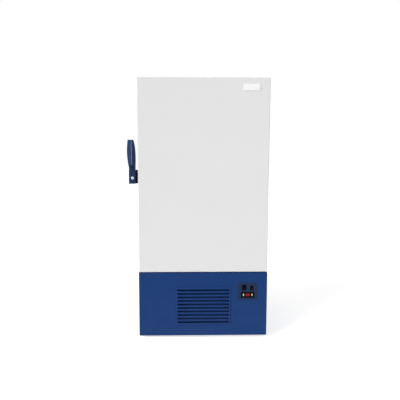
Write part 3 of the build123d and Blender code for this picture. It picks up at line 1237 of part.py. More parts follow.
# Casters: a fork with its axle, and a wheel
fork_inner = WHEEL_WIDTH + 2 * FORK_GAP
fork_outer = fork_inner + 2 * FORK_SHEET
for name, (caster_x, caster_y, lift) in CASTERS.items():
    axle_y = caster_y + CASTER_TRAIL
    axle_level = WHEEL_RADIUS + lift
    with BuildPart() as caster_fork:
        with BuildSketch(level(CROWN_BOTTOM)):
            with Locations((caster_x, caster_y)):
                Rectangle(CROWN_SIZE, CROWN_SIZE)
            with Locations((caster_x, axle_y - FORK_END / 2)):
                Rectangle(fork_outer, CASTER_TRAIL + FORK_END)
            with Locations((caster_x, caster_y)):
                Circle(KING_PIN_RADIUS + PIN_CLEARANCE, mode=Mode.SUBTRACT)
        extrude(amount=CROWN_THICKNESS)
        for leg_x in (caster_x - fork_outer / 2, caster_x + fork_inner / 2):
            with BuildSketch(beside(leg_x)):
                with BuildLine():
                    Polyline((axle_y - FORK_END, axle_level), (axle_y - FORK_END / 2, axle_level - FORK_END),
                             (axle_y + FORK_END / 2, axle_level - FORK_END), (axle_y + FORK_END, axle_level),
                             (axle_y + FORK_END / 2, CROWN_BOTTOM),
                             (axle_y - CASTER_TRAIL - FORK_END / 2, CROWN_BOTTOM), close=True)
                make_face()
            extrude(amount=FORK_SHEET)
        with BuildSketch(beside(caster_x - fork_outer / 2)):
            with Locations((axle_y, axle_level)):
                Circle(AXLE_RADIUS)
        extrude(amount=fork_outer)
    caster_fork.part.label = f"caster_fork_{name}"
    export_step(caster_fork.part, f"parts/caster_fork_{name}.step")

    with BuildPart() as caster_wheel:
        with BuildSketch(beside(caster_x - WHEEL_WIDTH / 2)):
            with Locations((axle_y, axle_level)):
                Circle(WHEEL_RADIUS)
        extrude(amount=WHEEL_WIDTH)
        with BuildSketch(beside(caster_x - WHEEL_WIDTH / 2)):
            with Locations((axle_y, axle_level)):
                Circle(AXLE_RADIUS + PIN_CLEARANCE)
        extrude(amount=WHEEL_WIDTH, mode=Mode.SUBTRACT)
    caster_wheel.part.label = f"caster_wheel_{name}"
    export_step(caster_wheel.part, f"parts/caster_wheel_{name}.step")

# Levelling feet: a pad on a threaded stem through the chassis
for name, (foot_x, foot_y) in FEET.items():
    with BuildPart() as levelling_foot:
        with BuildSketch(level(0)):
            with Locations((foot_x, foot_y)):
                Circle(FOOT_RADIUS)
        extrude(amount=FOOT_PAD)
        with BuildSketch(level(FOOT_PAD)):
            with Locations((foot_x, foot_y)):
                Circle(FOOT_STEM_RADIUS)
        extrude(amount=FOOT_STEM_TOP - FOOT_PAD)
    levelling_foot.part.label = f"levelling_foot_{name}"
    export_step(levelling_foot.part, f"parts/levelling_foot_{name}.step")
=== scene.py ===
"""Looks of an upright ultra low temperature freezer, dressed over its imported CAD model."""

import math

import bmesh
import bpy
import numpy as np
from bpy.props import FloatProperty, FloatVectorProperty, IntProperty, PointerProperty
from mathutils import Matrix, Vector


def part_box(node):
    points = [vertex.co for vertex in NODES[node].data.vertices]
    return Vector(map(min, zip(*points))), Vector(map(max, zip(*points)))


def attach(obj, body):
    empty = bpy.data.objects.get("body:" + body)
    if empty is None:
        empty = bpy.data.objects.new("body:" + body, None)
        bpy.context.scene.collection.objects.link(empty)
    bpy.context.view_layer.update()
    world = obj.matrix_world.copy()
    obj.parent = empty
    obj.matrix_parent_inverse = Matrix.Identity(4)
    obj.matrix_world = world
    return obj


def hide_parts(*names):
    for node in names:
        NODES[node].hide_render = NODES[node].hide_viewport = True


bl_info = {
    "name": "Freezer Looks",
    "version": (1, 0, 0),
    "blender": (4, 5, 0),
    "location": "View3D > Sidebar > Freezer",
    "description": "Finishes, trim and stage for an ultra low temperature freezer",
    "category": "Object",
}

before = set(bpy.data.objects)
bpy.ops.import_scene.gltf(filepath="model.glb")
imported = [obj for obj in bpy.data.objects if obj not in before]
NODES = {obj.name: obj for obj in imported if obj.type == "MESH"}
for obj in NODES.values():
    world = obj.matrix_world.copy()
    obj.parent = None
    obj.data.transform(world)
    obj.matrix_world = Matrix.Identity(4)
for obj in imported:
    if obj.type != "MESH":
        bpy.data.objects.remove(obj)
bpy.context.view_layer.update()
CASTERS = ("front_left", "front_right", "rear_left", "rear_right")

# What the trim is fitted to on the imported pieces: the number of hinges, and sizes in metres
HINGES = 3
KNUCKLE_LENGTH = 0.032
LEAF_THICKNESS = 0.003
KEEPER_PLATE = 0.004
WHEEL_BORE = 0.00505
BUMPER_RADIUS = 0.016
GASKET_WIDTH = 0.030

# Half of a wheel's section, from its bore to the middle of the tread: shares of its half width and radius
WHEEL_SECTION = (
    (1.0, 0.0), (1.0, 0.27), (0.92, 0.30), (0.74, 0.33), (0.70, 0.40),
    (0.74, 0.62), (0.90, 0.66), (0.96, 0.69), (0.96, 0.82), (0.88, 0.91),
    (0.68, 0.98), (0.40, 1.0), (0.16, 1.0), (0.12, 0.96), (0.05, 0.95),
)

# Radii between which a wheel goes from hub to rubber, in metres
HUB_RADIUS = 0.0255
RUBBER_RADIUS = 0.0262

# A bumper's section, from the flange to the hollow in its end: shares of its length and radius
BUMPER_SECTION = (
    (0.0, 1.0), (0.10, 1.0), (0.14, 0.97), (0.18, 0.86), (0.24, 0.82), (0.30, 0.84),
    (0.86, 0.78), (0.95, 0.74), (1.0, 0.64), (1.0, 0.34), (0.95, 0.28), (0.93, 0.20),
)

# The badge's corners, and its rounded edge: metres inwards and shares of its thickness
BADGE_POWER = 14
BADGE_EDGE = ((0.0, 0.0), (0.0, 0.6), (0.0003, 0.85), (0.0010, 0.98), (0.0022, 1.0))

# How much of its depth the gasket's sealing face falls away by at both sides
SEAL_CROWN = 0.06

# A screw's head, in shares of its radius and height, and its socket, in shares of a hexagon and the height
HEAD_SECTION = ((1.0, -0.1), (0.97, 0.35), (0.84, 0.75), (0.62, 1.0))
SOCKET_SECTION = ((1.0, 1.0), (0.9, 0.35))
SOCKET_SHARE = 0.5

# Screws, in metres from the edges of the piece that they hold, and how many stand across and up the back
LEAF_SCREWS = (0.010, 0.032)
KEEPER_SCREW = 0.010
BACK_SCREW = 0.024
BACK_COLUMNS = 5
BACK_ROWS = 6
REAR_COVER_SCREW = 0.020
SIDE_PANEL_SCREW = 0.030
SIDE_PANEL_FOOT = 0.040

# Points round or along the added surfaces
WHEEL_STEPS = 72
BUMPER_STEPS = 48
BADGE_STEPS = 96
FOLD_STEPS = 25
SEAL_STEPS = 9
SCREW_STEPS = 24

# Painted highlight line on the lever's crest, in metres: from its outer side, across, and from its front
CREST_HIGHLIGHT_SIDE = 0.0350
CREST_HIGHLIGHT_WIDTH = 0.0125
CREST_HIGHLIGHT_DEPTH = 0.0060

# Ribs of the lamp lenses, in metres from one to the next
RIB_PITCH = 0.0016

# Stage: the ways to the lights and their breadth, the floor and the camera's sensor
KEY_WAY = (-0.742, -0.520, 0.423)
FILL_WAY = (0.814, -0.470, 0.342)
LIGHT_DISTANCE = 6
LIGHT_BREADTH = math.radians(40)
FLOOR_REACH = 14.0
FLOOR_GLOW = 0.64
SENSOR_WIDTH = 36.0

# Range that most of a noise's values lie in
NOISE_LOW = 0.3
NOISE_HIGH = 0.7

# Sockets of the Mix node when it mixes colours
MIX_FACTOR = 0
MIX_FIRST = 6
MIX_SECOND = 7
MIX_RESULT = 2


def shade(red, green, blue):
    """Linear colour from display values of 0 to 255, by the sRGB curve."""
    display = np.array((red, green, blue)) / 255
    curve = ((display + 0.055) / 1.055) ** 2.4
    return tuple(np.where(display <= 0.04045, display / 12.92, curve).tolist())


# Dust on paint and on rubber
PAINT_DUST = shade(150, 146, 138)
RUBBER_DUST = shade(120, 116, 110)


def colour_property(name, description, default):
    """A linear colour that a user can change."""
    return FloatVectorProperty(name=name, description=description, subtype="COLOR", size=3, min=0, max=1,
                               default=default)


def length_property(name, description, default):
    """A length in metres that a user can change."""
    return FloatProperty(name=name, description=description, default=default, min=0, precision=4,
                         unit="LENGTH")


def angle_property(name, description, degrees):
    """An angle that a user can change, given in degrees."""
    return FloatProperty(name=name, description=description, subtype="ANGLE", default=math.radians(degrees))


def strength_property(name, description, default):
    """A light's strength that a user can change."""
    return FloatProperty(name=name, description=description, default=default, min=0)


class FreezerColours(bpy.types.PropertyGroup):
    """Colours of the freezer's finishes."""

    door_white: colour_property("Door white", "Powder coat of the door and the cabinet", shade(232, 232, 232))
    base_blue: colour_property("Base blue", "Powder coat of the machine base", shade(22, 58, 114))
    grip_navy: colour_property("Grip navy", "Moulded plastic of the latch lever and its block",
                               shade(35, 52, 88))
    plate_slate: colour_property("Plate slate", "Moulded plate that carries the switches", shade(36, 52, 84))
    switch_black: colour_property("Switch black", "Gloss plastic of the switch frames", shade(5, 6, 13))
    rocker_red: colour_property("Rocker red", "Gloss plastic of the power rocker", shade(138, 20, 24))
    lens_cream: colour_property("Lens cream", "Indicator lamp lenses", shade(228, 226, 172))
    steel: colour_property("Steel", "Stainless liner, shelves and latch parts", shade(196, 198, 200))
    copper: colour_property("Copper", "Refrigerant tube", shade(184, 115, 78))
    foam: colour_property("Foam", "Polyurethane insulation", shade(226, 208, 160))


class FreezerSizes(bpy.types.PropertyGroup):
    """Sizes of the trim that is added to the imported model."""

    badge_width: length_property("Badge width", "Bare plate on the door", 0.124)
    badge_height: length_property("Badge height", "Bare plate on the door", 0.048)
    badge_thickness: length_property("Badge thickness", "How far the bare plate stands off the door", 0.005)
    badge_side: length_property("Badge side", "From the door's right edge to the plate's middle", 0.1350)
    badge_drop: length_property("Badge drop", "From the door's top edge to the plate's middle", 0.0705)
    screw_radius: length_property("Screw radius", "Head radius of the button screws", 0.0048)
    screw_height: length_property("Screw height", "Head height of the button screws", 0.0026)
    fold_depth: length_property("Fold depth", "How deep the gasket's folds go in", 0.006)
    folds: IntProperty(name="Folds", description="Folds on each side of the gasket", default=2, min=1, max=6)


class FreezerStage(bpy.types.PropertyGroup):
    """Camera and light of the studio stage."""

    camera_place: FloatVectorProperty(name="Camera place", description="Where the camera stands", size=3,
                                      subtype="TRANSLATION", unit="LENGTH",
                                      default=(-0.11092, -4.75347, 1.68415))
    camera_lens: FloatProperty(name="Lens", description="Focal length in millimetres", default=52.26, min=1)
    camera_yaw: angle_property("Yaw", "Turn to the right", 1.548)
    camera_pitch: angle_property("Pitch", "Tilt down", 8.009)
    camera_roll: angle_property("Roll", "Lean of the frame", 0.1436)
    key: strength_property("Key light", "Strength of the broad light from the left", 2.55)
    fill: strength_property("Fill light", "Strength of the broad light from the right", 0.5)
    sky: strength_property("Sky", "Strength of the even light all round", 0.31)


def plug(tree, socket, value):
    """Links a socket to another socket, or sets its value."""
    if isinstance(value, bpy.types.NodeSocket):
        tree.links.new(value, socket)
    else:
        socket.default_value = value


def add(tree, kind, settings=None, **inputs):
    """A node with its settings, and each named input set or linked."""
    made = tree.nodes.new(kind)
    for name, value in (settings or {}).items():
        setattr(made, name, value)
    for name, value in inputs.items():
        plug(tree, made.inputs[name.replace("_", " ")], value)
    return made


def calc(tree, operation, *values, kind="ShaderNodeMath"):
    """Result of a Math node, or of another kind of node that has operations."""
    made = add(tree, kind, {"operation": operation})
    for socket, value in zip(made.inputs, values):
        plug(tree, socket, value)
    return made.outputs[0]


def vector_calc(tree, operation, *values):
    """Result of a Vector Math node."""
    return calc(tree, operation, *values, kind="ShaderNodeVectorMath")


def weaken(tree, mask, share):
    """A mask brought down to a share of its strength."""
    return calc(tree, "MULTIPLY", mask, share)


def spread(tree, value, low, high, to_low, to_high):
    """Value carried from one range to another, held at both ends, along a smooth step."""
    made = add(tree, "ShaderNodeMapRange", {"interpolation_type": "SMOOTHSTEP"}, Value=value)
    for name, number in (("From Min", low), ("From Max", high), ("To Min", to_low), ("To Max", to_high)):
        plug(tree, made.inputs[name], number)
    return made.outputs[0]


def waver(tree, drift, low, high):
    """Value that wavers between two ends with a noise."""
    return spread(tree, drift, NOISE_LOW, NOISE_HIGH, low, high)


def mix(tree, factor, first, second):
    """Colour between two colours."""
    made = add(tree, "ShaderNodeMix", {"data_type": "RGBA"})
    colours = [value if isinstance(value, bpy.types.NodeSocket) else (*value, 1) for value in (first, second)]
    plug(tree, made.inputs[MIX_FACTOR], factor)
    plug(tree, made.inputs[MIX_FIRST], colours[0])
    plug(tree, made.inputs[MIX_SECOND], colours[1])
    return made.outputs[MIX_RESULT]


def tint(colour, share):
    """Colour made lighter, or darker with a share under one."""
    return tuple(min(1.0, channel * share) for channel in colour)


def drifted(tree, drift, colour, darkest, lightest):
    """Colour that drifts between two tints of itself."""
    return mix(tree, drift, tint(colour, darkest), tint(colour, lightest))


def noise(tree, vector, scale, detail=2):
    """Value of a Noise Texture."""
    return add(tree, "ShaderNodeTexNoise", Vector=vector, Scale=scale, Detail=detail).outputs["Fac"]


def place(tree):
    """Object coordinates in metres."""
    return add(tree, "ShaderNodeTexCoord").outputs["Object"]


def axes(tree, vector):
    """X, Y and Z of a vector, by name."""
    return add(tree, "ShaderNodeSeparateXYZ", Vector=vector).outputs


def wave(tree, along, pitch):
    """Sine wave along a coordinate, from minus one to one, with the given length."""
    return calc(tree, "SINE", calc(tree, "MULTIPLY", along, math.tau / pitch))


def bump(tree, height, distance, strength):
    """Normal from a height."""
    return add(tree, "ShaderNodeBump", Height=height, Distance=distance, Strength=strength).outputs["Normal"]


def new_group(name, inputs, outputs):
    """An empty shader group with named sockets."""
    tree = bpy.data.node_groups.new(name, "ShaderNodeTree")
    for label, kind in inputs:
        tree.interface.new_socket(label, in_out="INPUT", socket_type=kind)
    for label in outputs:
        tree.interface.new_socket(label, in_out="OUTPUT", socket_type="NodeSocketFloat")
    return tree, tree.nodes.new("NodeGroupInput").outputs, tree.nodes.new("NodeGroupOutput").inputs


def paint_peel():
    """Powder coat: a fine orange peel height, and a slow drift of tone."""
    tree, given, out = new_group("Paint Peel", [("Grain", "NodeSocketFloat")], ["Height", "Drift"])
    spot = place(tree)
    plug(tree, out["Height"], noise(tree, spot, given["Grain"]))
    plug(tree, out["Drift"], noise(tree, spot, scale=2.4, detail=4))
    return tree


def edge_wear():
    """Box edges: one where the second nearest of the box's six faces is near, broken up by noise."""
    inputs = [("Low", "NodeSocketVector"), ("High", "NodeSocketVector"), ("Width", "NodeSocketFloat")]
    tree, given, out = new_group("Edge Wear", inputs, ["Mask"])
    spot = place(tree)
    inside = vector_calc(tree, "MINIMUM", vector_calc(tree, "SUBTRACT", spot, given["Low"]),
                         vector_calc(tree, "SUBTRACT", given["High"], spot))
    parts = axes(tree, inside)
    near = calc(tree, "MINIMUM", parts["X"], parts["Y"])
    far = calc(tree, "MAXIMUM", parts["X"], parts["Y"])
    second = calc(tree, "MAXIMUM", near, calc(tree, "MINIMUM", far, parts["Z"]))
    breaks = spread(tree, noise(tree, spot, scale=60, detail=3), 0.35, 0.7, 0.2, 1.4)
    ragged = calc(tree, "MULTIPLY", given["Width"], breaks)
    plug(tree, out["Mask"], spread(tree, second, 0.0, ragged, 1.0, 0.0))
    return tree


def floor_dust():
    """Dust: strongest at the floor, gone at the given height, patchy."""
    tree, given, out = new_group("Floor Dust", [("Reach", "NodeSocketFloat")], ["Mask"])
    spot = place(tree)
    patches = spread(tree, noise(tree, spot, scale=9, detail=5), 0.3, 0.75, 0.25, 1.0)
    settled = spread(tree, axes(tree, spot)["Z"], 0.0, given["Reach"], 1.0, 0.0)
    plug(tree, out["Mask"], calc(tree, "MULTIPLY", settled, patches))
    return tree


def moulded_grain():
    """Moulded plastic: leathery cells from the distance to scattered points, and a slow drift of tone."""
    tree, given, out = new_group("Moulded Grain", [("Grain", "NodeSocketFloat")], ["Height", "Drift"])
    spot = place(tree)
    cells = add(tree, "ShaderNodeTexVoronoi", Vector=spot, Scale=given["Grain"]).outputs["Distance"]
    plug(tree, out["Height"], cells)
    plug(tree, out["Drift"], noise(tree, spot, scale=14, detail=4))
    return tree


def brushed_lines():
    """Brushed metal: noise stretched along the brushing, and broad cloudy handling marks."""
    tree, given, out = new_group("Brushed Lines", [("Stretch", "NodeSocketVector")], ["Lines", "Marks"])
    spot = place(tree)
    stretched = vector_calc(tree, "MULTIPLY", spot, given["Stretch"])
    plug(tree, out["Lines"], noise(tree, stretched, scale=1.0, detail=3))
    plug(tree, out["Marks"], noise(tree, spot, scale=5, detail=4))
    return tree


GROUP_MAKERS = {
    "Paint Peel": paint_peel,
    "Edge Wear": edge_wear,
    "Floor Dust": floor_dust,
    "Moulded Grain": moulded_grain,
    "Brushed Lines": brushed_lines,
}


def effect(tree, name, **inputs):
    """Outputs of a shared effect, which is built the first time it is used."""
    made = tree.nodes.new("ShaderNodeGroup")
    made.node_tree = bpy.data.node_groups.get(name) or GROUP_MAKERS[name]()
    for label, value in inputs.items():
        plug(tree, made.inputs[label], value)
    return made.outputs


def edge_mask(tree, box, width):
    """Mask of the worn edges of a box."""
    return effect(tree, "Edge Wear", Low=box[0], High=box[1], Width=width)["Mask"]


def dust_mask(tree, reach, share):
    """Mask of the dust up to a height, at a share of its strength."""
    return weaken(tree, effect(tree, "Floor Dust", Reach=reach)["Mask"], share)


def clear_tree(owner):
    """The emptied node tree of a material or a world."""
    owner.use_nodes = True
    owner.node_tree.nodes.clear()
    return owner.node_tree


def new_material(name, **values):
    """A material with one Principled BSDF, and its plain values set on the shader's own sockets."""
    material = bpy.data.materials.new(name)
    tree = clear_tree(material)
    shader = tree.nodes.new("ShaderNodeBsdfPrincipled")
    tree.links.new(shader.outputs["BSDF"], tree.nodes.new("ShaderNodeOutputMaterial").inputs["Surface"])
    for label, value in values.items():
        plug(tree, shader.inputs[label.replace("_", " ")], value)
    return material, tree, shader.inputs


def cover(tree, into, colour, roughness, normal):
    """Links the three values that change over a surface."""
    plug(tree, into["Base Color"], colour)
    plug(tree, into["Roughness"], roughness)
    plug(tree, into["Normal"], normal)


def powder_coat(name, colour, box, worn, rough=0.36, dusty=0.12):
    """Painted sheet: orange peel, a slow drift of tone, worn edges and dust towards the floor."""
    material, tree, into = new_material(name, Specular_IOR_Level=0.12)
    peel = effect(tree, "Paint Peel", Grain=620.0)
    edges = weaken(tree, edge_mask(tree, box, width=0.005), 0.4)
    dust = dust_mask(tree, reach=0.5, share=dusty)
    coat = mix(tree, edges, drifted(tree, peel["Drift"], colour, 0.975, 1.02), worn)
    streaks = waver(tree, peel["Drift"], rough - 0.05, rough + 0.06)
    cover(tree, into, mix(tree, dust, coat, PAINT_DUST), calc(tree, "ADD", streaks, dust),
          bump(tree, peel["Height"], distance=0.00012, strength=0.5))
    return material


def painted_crest_highlight(tree, box):
    """Painted highlight line down a lever's crest: near one x from its outer side, gone a little behind its
    front.
    """
    parts = axes(tree, place(tree))
    beside = calc(tree, "ABSOLUTE", calc(tree, "SUBTRACT", parts["X"], box[0][0] + CREST_HIGHLIGHT_SIDE))
    behind = calc(tree, "SUBTRACT", parts["Y"], box[0][1])
    line = spread(tree, beside, 0.0, CREST_HIGHLIGHT_WIDTH / 2, 0.95, 0.0)
    return calc(tree, "MULTIPLY", line, spread(tree, behind, 0.0, CREST_HIGHLIGHT_DEPTH, 1.0, 0.0))


def moulded(name, colour, box, rough=0.45, grain=900.0, depth=0.00008, edge=1.5, coat=0.0, shine=0.2,
            drift=0.065, crest_highlight=None):
    """Moulded plastic: fine cells, a drift of tone and roughness, rubbed edges, and a painted highlight line
    down a crest.
    """
    material, tree, into = new_material(name, Coat_Weight=coat, Coat_Roughness=0.12, Specular_IOR_Level=shine)
    cells = effect(tree, "Moulded Grain", Grain=grain)
    edges = weaken(tree, edge_mask(tree, box, width=0.002), 0.35)
    body = drifted(tree, cells["Drift"], colour, 1 - drift, 1 + drift)
    # A paler line down the crest is a painted highlight
    if crest_highlight:
        body = mix(tree, painted_crest_highlight(tree, box), body, crest_highlight)
    cover(tree, into, mix(tree, edges, body, tint(colour, edge)),
          waver(tree, cells["Drift"], rough - 0.06, rough + 0.07),
          bump(tree, cells["Height"], distance=depth, strength=0.6))
    return material


def bare_metal(name, colour, stretch, rough=0.3, depth=0.00003):
    """Brushed or drawn metal: lines along the brushing, and cloudy marks in the roughness."""
    material, tree, into = new_material(name, Metallic=1.0)
    grain = effect(tree, "Brushed Lines", Stretch=stretch)
    lines = spread(tree, grain["Lines"], 0.25, 0.75, rough - 0.07, rough + 0.07)
    marks = spread(tree, grain["Marks"], 0.35, 0.75, 0.0, 0.1)
    cover(tree, into, drifted(tree, grain["Lines"], colour, 0.86, 1.08), calc(tree, "ADD", lines, marks),
          bump(tree, grain["Lines"], distance=depth, strength=0.4))
    return material


def soft_rubber(name, colour, rough=0.72):
    """Rubber: a fine matt skin with a chalky bloom in patches."""
    material, tree, into = new_material(name, Specular_IOR_Level=0.3)
    skin = effect(tree, "Moulded Grain", Grain=1400.0)
    dust = dust_mask(tree, reach=0.12, share=0.35)
    body = drifted(tree, skin["Drift"], colour, 0.85, 1.15)
    cover(tree, into, mix(tree, dust, body, RUBBER_DUST),
          waver(tree, skin["Drift"], rough - 0.08, rough + 0.08),
          bump(tree, skin["Height"], distance=0.00006, strength=0.6))
    return material


def cellular_foam(name, colour):
    """Rigid foam: open cells of two sizes, with painted shade in their bottoms."""
    material, tree, into = new_material(name, Specular_IOR_Level=0.2)
    small = effect(tree, "Moulded Grain", Grain=420.0)
    large = effect(tree, "Moulded Grain", Grain=130.0)["Height"]
    cells = calc(tree, "ADD", small["Height"], weaken(tree, large, 0.6))
    # Painted shade: darker towards the bottoms of the cells
    shaded_cell_bottoms = spread(tree, cells, 0.2, 0.9, 0.0, 0.35)
    body = drifted(tree, small["Drift"], colour, 0.9, 1.05)
    cover(tree, into, mix(tree, shaded_cell_bottoms, body, tint(colour, 0.6)), waver(tree, small["Drift"], 0.8, 0.95),
          bump(tree, cells, distance=0.0006, strength=0.7))
    return material


def striped(name, colour, along, pitch, rough=0.4, metallic=1.0):
    """Rows of thin fins or wires: a sine wave along each axis paints shade into the gaps and lifts the
    ridges.
    """
    material, tree, into = new_material(name, Metallic=metallic)
    parts = axes(tree, place(tree))
    waves = [wave(tree, parts[letter], pitch) for letter in along]
    height = waves[0]
    for other in waves[1:]:
        height = calc(tree, "MAXIMUM", height, other)
    ridges = spread(tree, height, -0.6, 0.7, 0.0, 1.0)
    drift = effect(tree, "Brushed Lines", Stretch=(30, 30, 30))["Marks"]
    lit = drifted(tree, drift, colour, 0.85, 1.1)
    # The gaps between the fins or wires get near-black painted shade
    cover(tree, into, mix(tree, ridges, tint(colour, 0.12), lit),
          waver(tree, drift, rough - 0.08, rough + 0.1),
          bump(tree, ridges, distance=pitch * 0.2, strength=0.6))
    return material


def lens(name, colour, box):
    """Lamp lens: fine moulded ribs across a clear-coated tinted plastic, with painted shade in the ribs'
    troughs.
    """
    material, tree, into = new_material(name, Coat_Weight=0.6, Coat_Roughness=0.08)
    ribs = wave(tree, axes(tree, place(tree))["Z"], RIB_PITCH)
    edges = weaken(tree, edge_mask(tree, box, width=0.004), 0.5)
    # Painted shade: the troughs between the ribs are darker
    body = drifted(tree, spread(tree, ribs, -1, 1, 0, 1), colour, 0.88, 1.0)
    cover(tree, into, mix(tree, edges, body, tint(colour, 0.6)), spread(tree, ribs, -1, 1, 0.18, 0.3),
          bump(tree, ribs, distance=0.0002, strength=0.5))
    return material


def dress(node, material):
    """Gives a CAD node its finish."""
    slots = NODES[node].data.materials
    slots.clear()
    slots.append(material)


def corners(node):
    """A node's lowest and highest corner as tuples."""
    return tuple(tuple(corner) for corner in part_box(node))


def ends(low, high, gap):
    """Two places that lie a gap inside the ends of a range."""
    return low + gap, high - gap


def ring_angles(steps):
    """Angles round one full turn, evenly spaced."""
    return np.linspace(0, math.tau, steps, endpoint=False)


def ring_faces(points, wrapped):
    """Faces of stacked closed rings, where each quad joins four neighbours.

    A wrapped stack joins its last ring to its first, and any other has a cap on both. The last three axes of
    the points are the ring, the place in the ring and the coordinate, and an axis before them holds copies.
    """
    rows, columns = points.shape[-3:-1]
    row, column = np.meshgrid(np.arange(rows if wrapped else rows - 1), np.arange(columns), indexing="ij")
    beside = (column + 1) % columns
    above = (row + 1) % rows
    quads = np.stack([row * columns + column, row * columns + beside, above * columns + beside,
                      above * columns + column], axis=-1).reshape(-1, 4)
    starts = np.arange(0, points[..., 0].size, rows * columns)
    faces = (quads[None] + starts[:, None, None]).reshape(-1, 4).tolist()
    if not wrapped:
        rim = np.arange(columns)
        faces += (rim[::-1][None] + starts[:, None]).tolist()
        faces += (rim[None] + starts[:, None] + (rows - 1) * columns).tolist()
    return faces


def finish_piece(name, points, body, material, wrapped=False, sharp=30):
    """A mesh object of stacked rings, with outward normals, that rides on a body."""
    mesh = bpy.data.meshes.new(name)
    mesh.from_pydata(points.reshape(-1, 3).tolist(), [], ring_faces(points, wrapped))
    shell = bmesh.new()
    shell.from_mesh(mesh)
    bmesh.ops.recalc_face_normals(shell, faces=shell.faces)
    shell.to_mesh(mesh)
    shell.free()
    mesh.polygons.foreach_set("use_smooth", np.ones(len(mesh.polygons), bool))
    mesh.set_sharp_from_angle(angle=math.radians(sharp))
    mesh.materials.append(material)
    piece = bpy.data.objects.new(name, mesh)
    bpy.context.scene.collection.objects.link(piece)
    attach(piece, body)
    return piece


class FREEZER_OT_painted_sheet(bpy.types.Operator):
    """Powder coat on the door, the cabinet, the base and the machinery."""

    bl_idname = "freezer.painted_sheet"
    bl_label = "Painted sheet"

    def execute(self, context):
        colours = context.scene.freezer_colours
        white = tuple(colours.door_white)
        blue = tuple(colours.base_blue)
        shaded = tint(blue, 0.55)
        for node in ("door_skin", "outer_casing", "back_panel", "hinge_cabinet_leaves", "hinge_door_leaves"):
            dress(node, powder_coat(f"white_coat_{node}", white, corners(node), tint(white, 0.86)))
        for node in ("base_front_panel", "base_side_panels", "base_rear_cover", "louvre_cover"):
            dress(node, powder_coat(f"blue_coat_{node}", blue, corners(node), shaded, dusty=0.025))
        dress("chassis_frame", powder_coat("chassis_coat", shaded, corners("chassis_frame"),
                                           tint(shaded, 1.5), dusty=0.02))
        for node, grey in (("electrical_box", 150), ("compressor_high_stage", 28),
                           ("compressor_low_stage", 28), ("fan_motor", 36)):
            dark = shade(grey, grey, grey)
            dress(node, powder_coat(f"machine_coat_{node}", dark, corners(node), tint(dark, 1.8),
                                    rough=0.42, dusty=0.3))
        return {"FINISHED"}


class FREEZER_OT_moulded_parts(bpy.types.Operator):
    """Plastic of the latch, the switches and their plate, the chamber's doors and mouth, and the fan."""

    bl_idname = "freezer.moulded_parts"
    bl_label = "Moulded parts"

    def execute(self, context):
        colours = context.scene.freezer_colours
        navy = tuple(colours.grip_navy)
        slate = tuple(colours.plate_slate)
        black = tuple(colours.switch_black)
        # The lever's crest gets a pale painted highlight line
        dress("latch_lever", moulded("grip_navy_lever", navy, corners("latch_lever"), rough=0.38, grain=700.0,
                                     shine=0.12, crest_highlight=shade(118, 134, 166)))
        dress("latch_block", moulded("grip_navy_block", navy, corners("latch_block"), rough=0.38, grain=700.0,
                                     shine=0.1))
        # Dark plastic on the latch bracket, made near-black as painted shade for the shaded strip between the
        # latch block and the door
        dress("latch_base", moulded("bracket_black_painted_shade", shade(15, 23, 35), corners("latch_base"), rough=0.5,
                                    grain=700.0, shine=0.05))
        dress("control_plate", moulded("plate_slate", slate, corners("control_plate"), rough=0.42,
                                       shine=0.08))
        for node in ("switch_bezels", "battery_rocker", "alarm_rocker", "power_inlet"):
            dress(node, moulded(f"switch_black_{node}", black, corners(node), rough=0.32, grain=1600.0,
                                depth=0.00004, edge=2.5, shine=0.04))
        dress("power_rocker", moulded("rocker_red", tuple(colours.rocker_red), corners("power_rocker"),
                                      rough=0.24, grain=1600.0, depth=0.00003, edge=1.6, coat=0.1,
                                      shine=0.08))
        dress("indicator_lamps", lens("lens_cream", tuple(colours.lens_cream), corners("indicator_lamps")))
        for node, grey in (("inner_door_upper", 226), ("inner_door_lower", 226), ("breaker_frame", 205),
                           ("door_liner", 216)):
            dress(node, moulded(f"pale_moulding_{node}", shade(grey, grey, grey), corners(node), rough=0.4,
                                grain=500.0, depth=0.0001, edge=0.9, drift=0.015))
        for node in ("fan_blades", "fan_shroud"):
            dress(node, moulded(f"fan_black_{node}", shade(38, 39, 41), corners(node), rough=0.5))
        return {"FINISHED"}


class FREEZER_OT_metal_parts(bpy.types.Operator):
    """Metal of the chamber, the latch, the tubes, the casters and the feet, the condenser and its filter."""

    bl_idname = "freezer.metal_parts"
    bl_label = "Metal parts"

    def execute(self, context):
        colours = context.scene.freezer_colours
        steel = tuple(colours.steel)
        zinc = shade(176, 178, 176)
        lengthwise = (6, 900, 900)
        upright = (900, 900, 6)
        for node in ("shelf_1", "shelf_2", "shelf_3"):
            dress(node, bare_metal(f"shelf_steel_{node}", steel, lengthwise, rough=0.32))
        for node in ("inner_liner", "shelf_supports", "inner_door_lugs"):
            dress(node, bare_metal(f"liner_steel_{node}", steel, upright, rough=0.34))
        for node in ("keeper", "latch_claw", "latch_pin"):
            dress(node, bare_metal(f"latch_steel_{node}", tint(steel, 0.8), lengthwise, rough=0.26))
        dress("lock_cylinder", bare_metal("lock_chrome", shade(198, 208, 224), (400, 400, 400), rough=0.2))
        for node in ("evaporator_coil", "refrigerant_lines"):
            dress(node, bare_metal(f"copper_tube_{node}", tuple(colours.copper), (60, 60, 60)))
        for node in ("caster_plates", "levelling_foot_left", "levelling_foot_right",
                     *[f"caster_fork_{name}" for name in CASTERS]):
            dress(node, bare_metal(f"zinc_plate_{node}", zinc, (90, 90, 90), rough=0.36, depth=0.00006))
        dress("condenser", striped("condenser_fins", shade(196, 198, 200), along="X", pitch=0.0025))
        dress("air_filter", striped("filter_mesh", shade(26, 66, 136), along="XZ", pitch=0.003, rough=0.6,
                                    metallic=0.0))
        return {"FINISHED"}


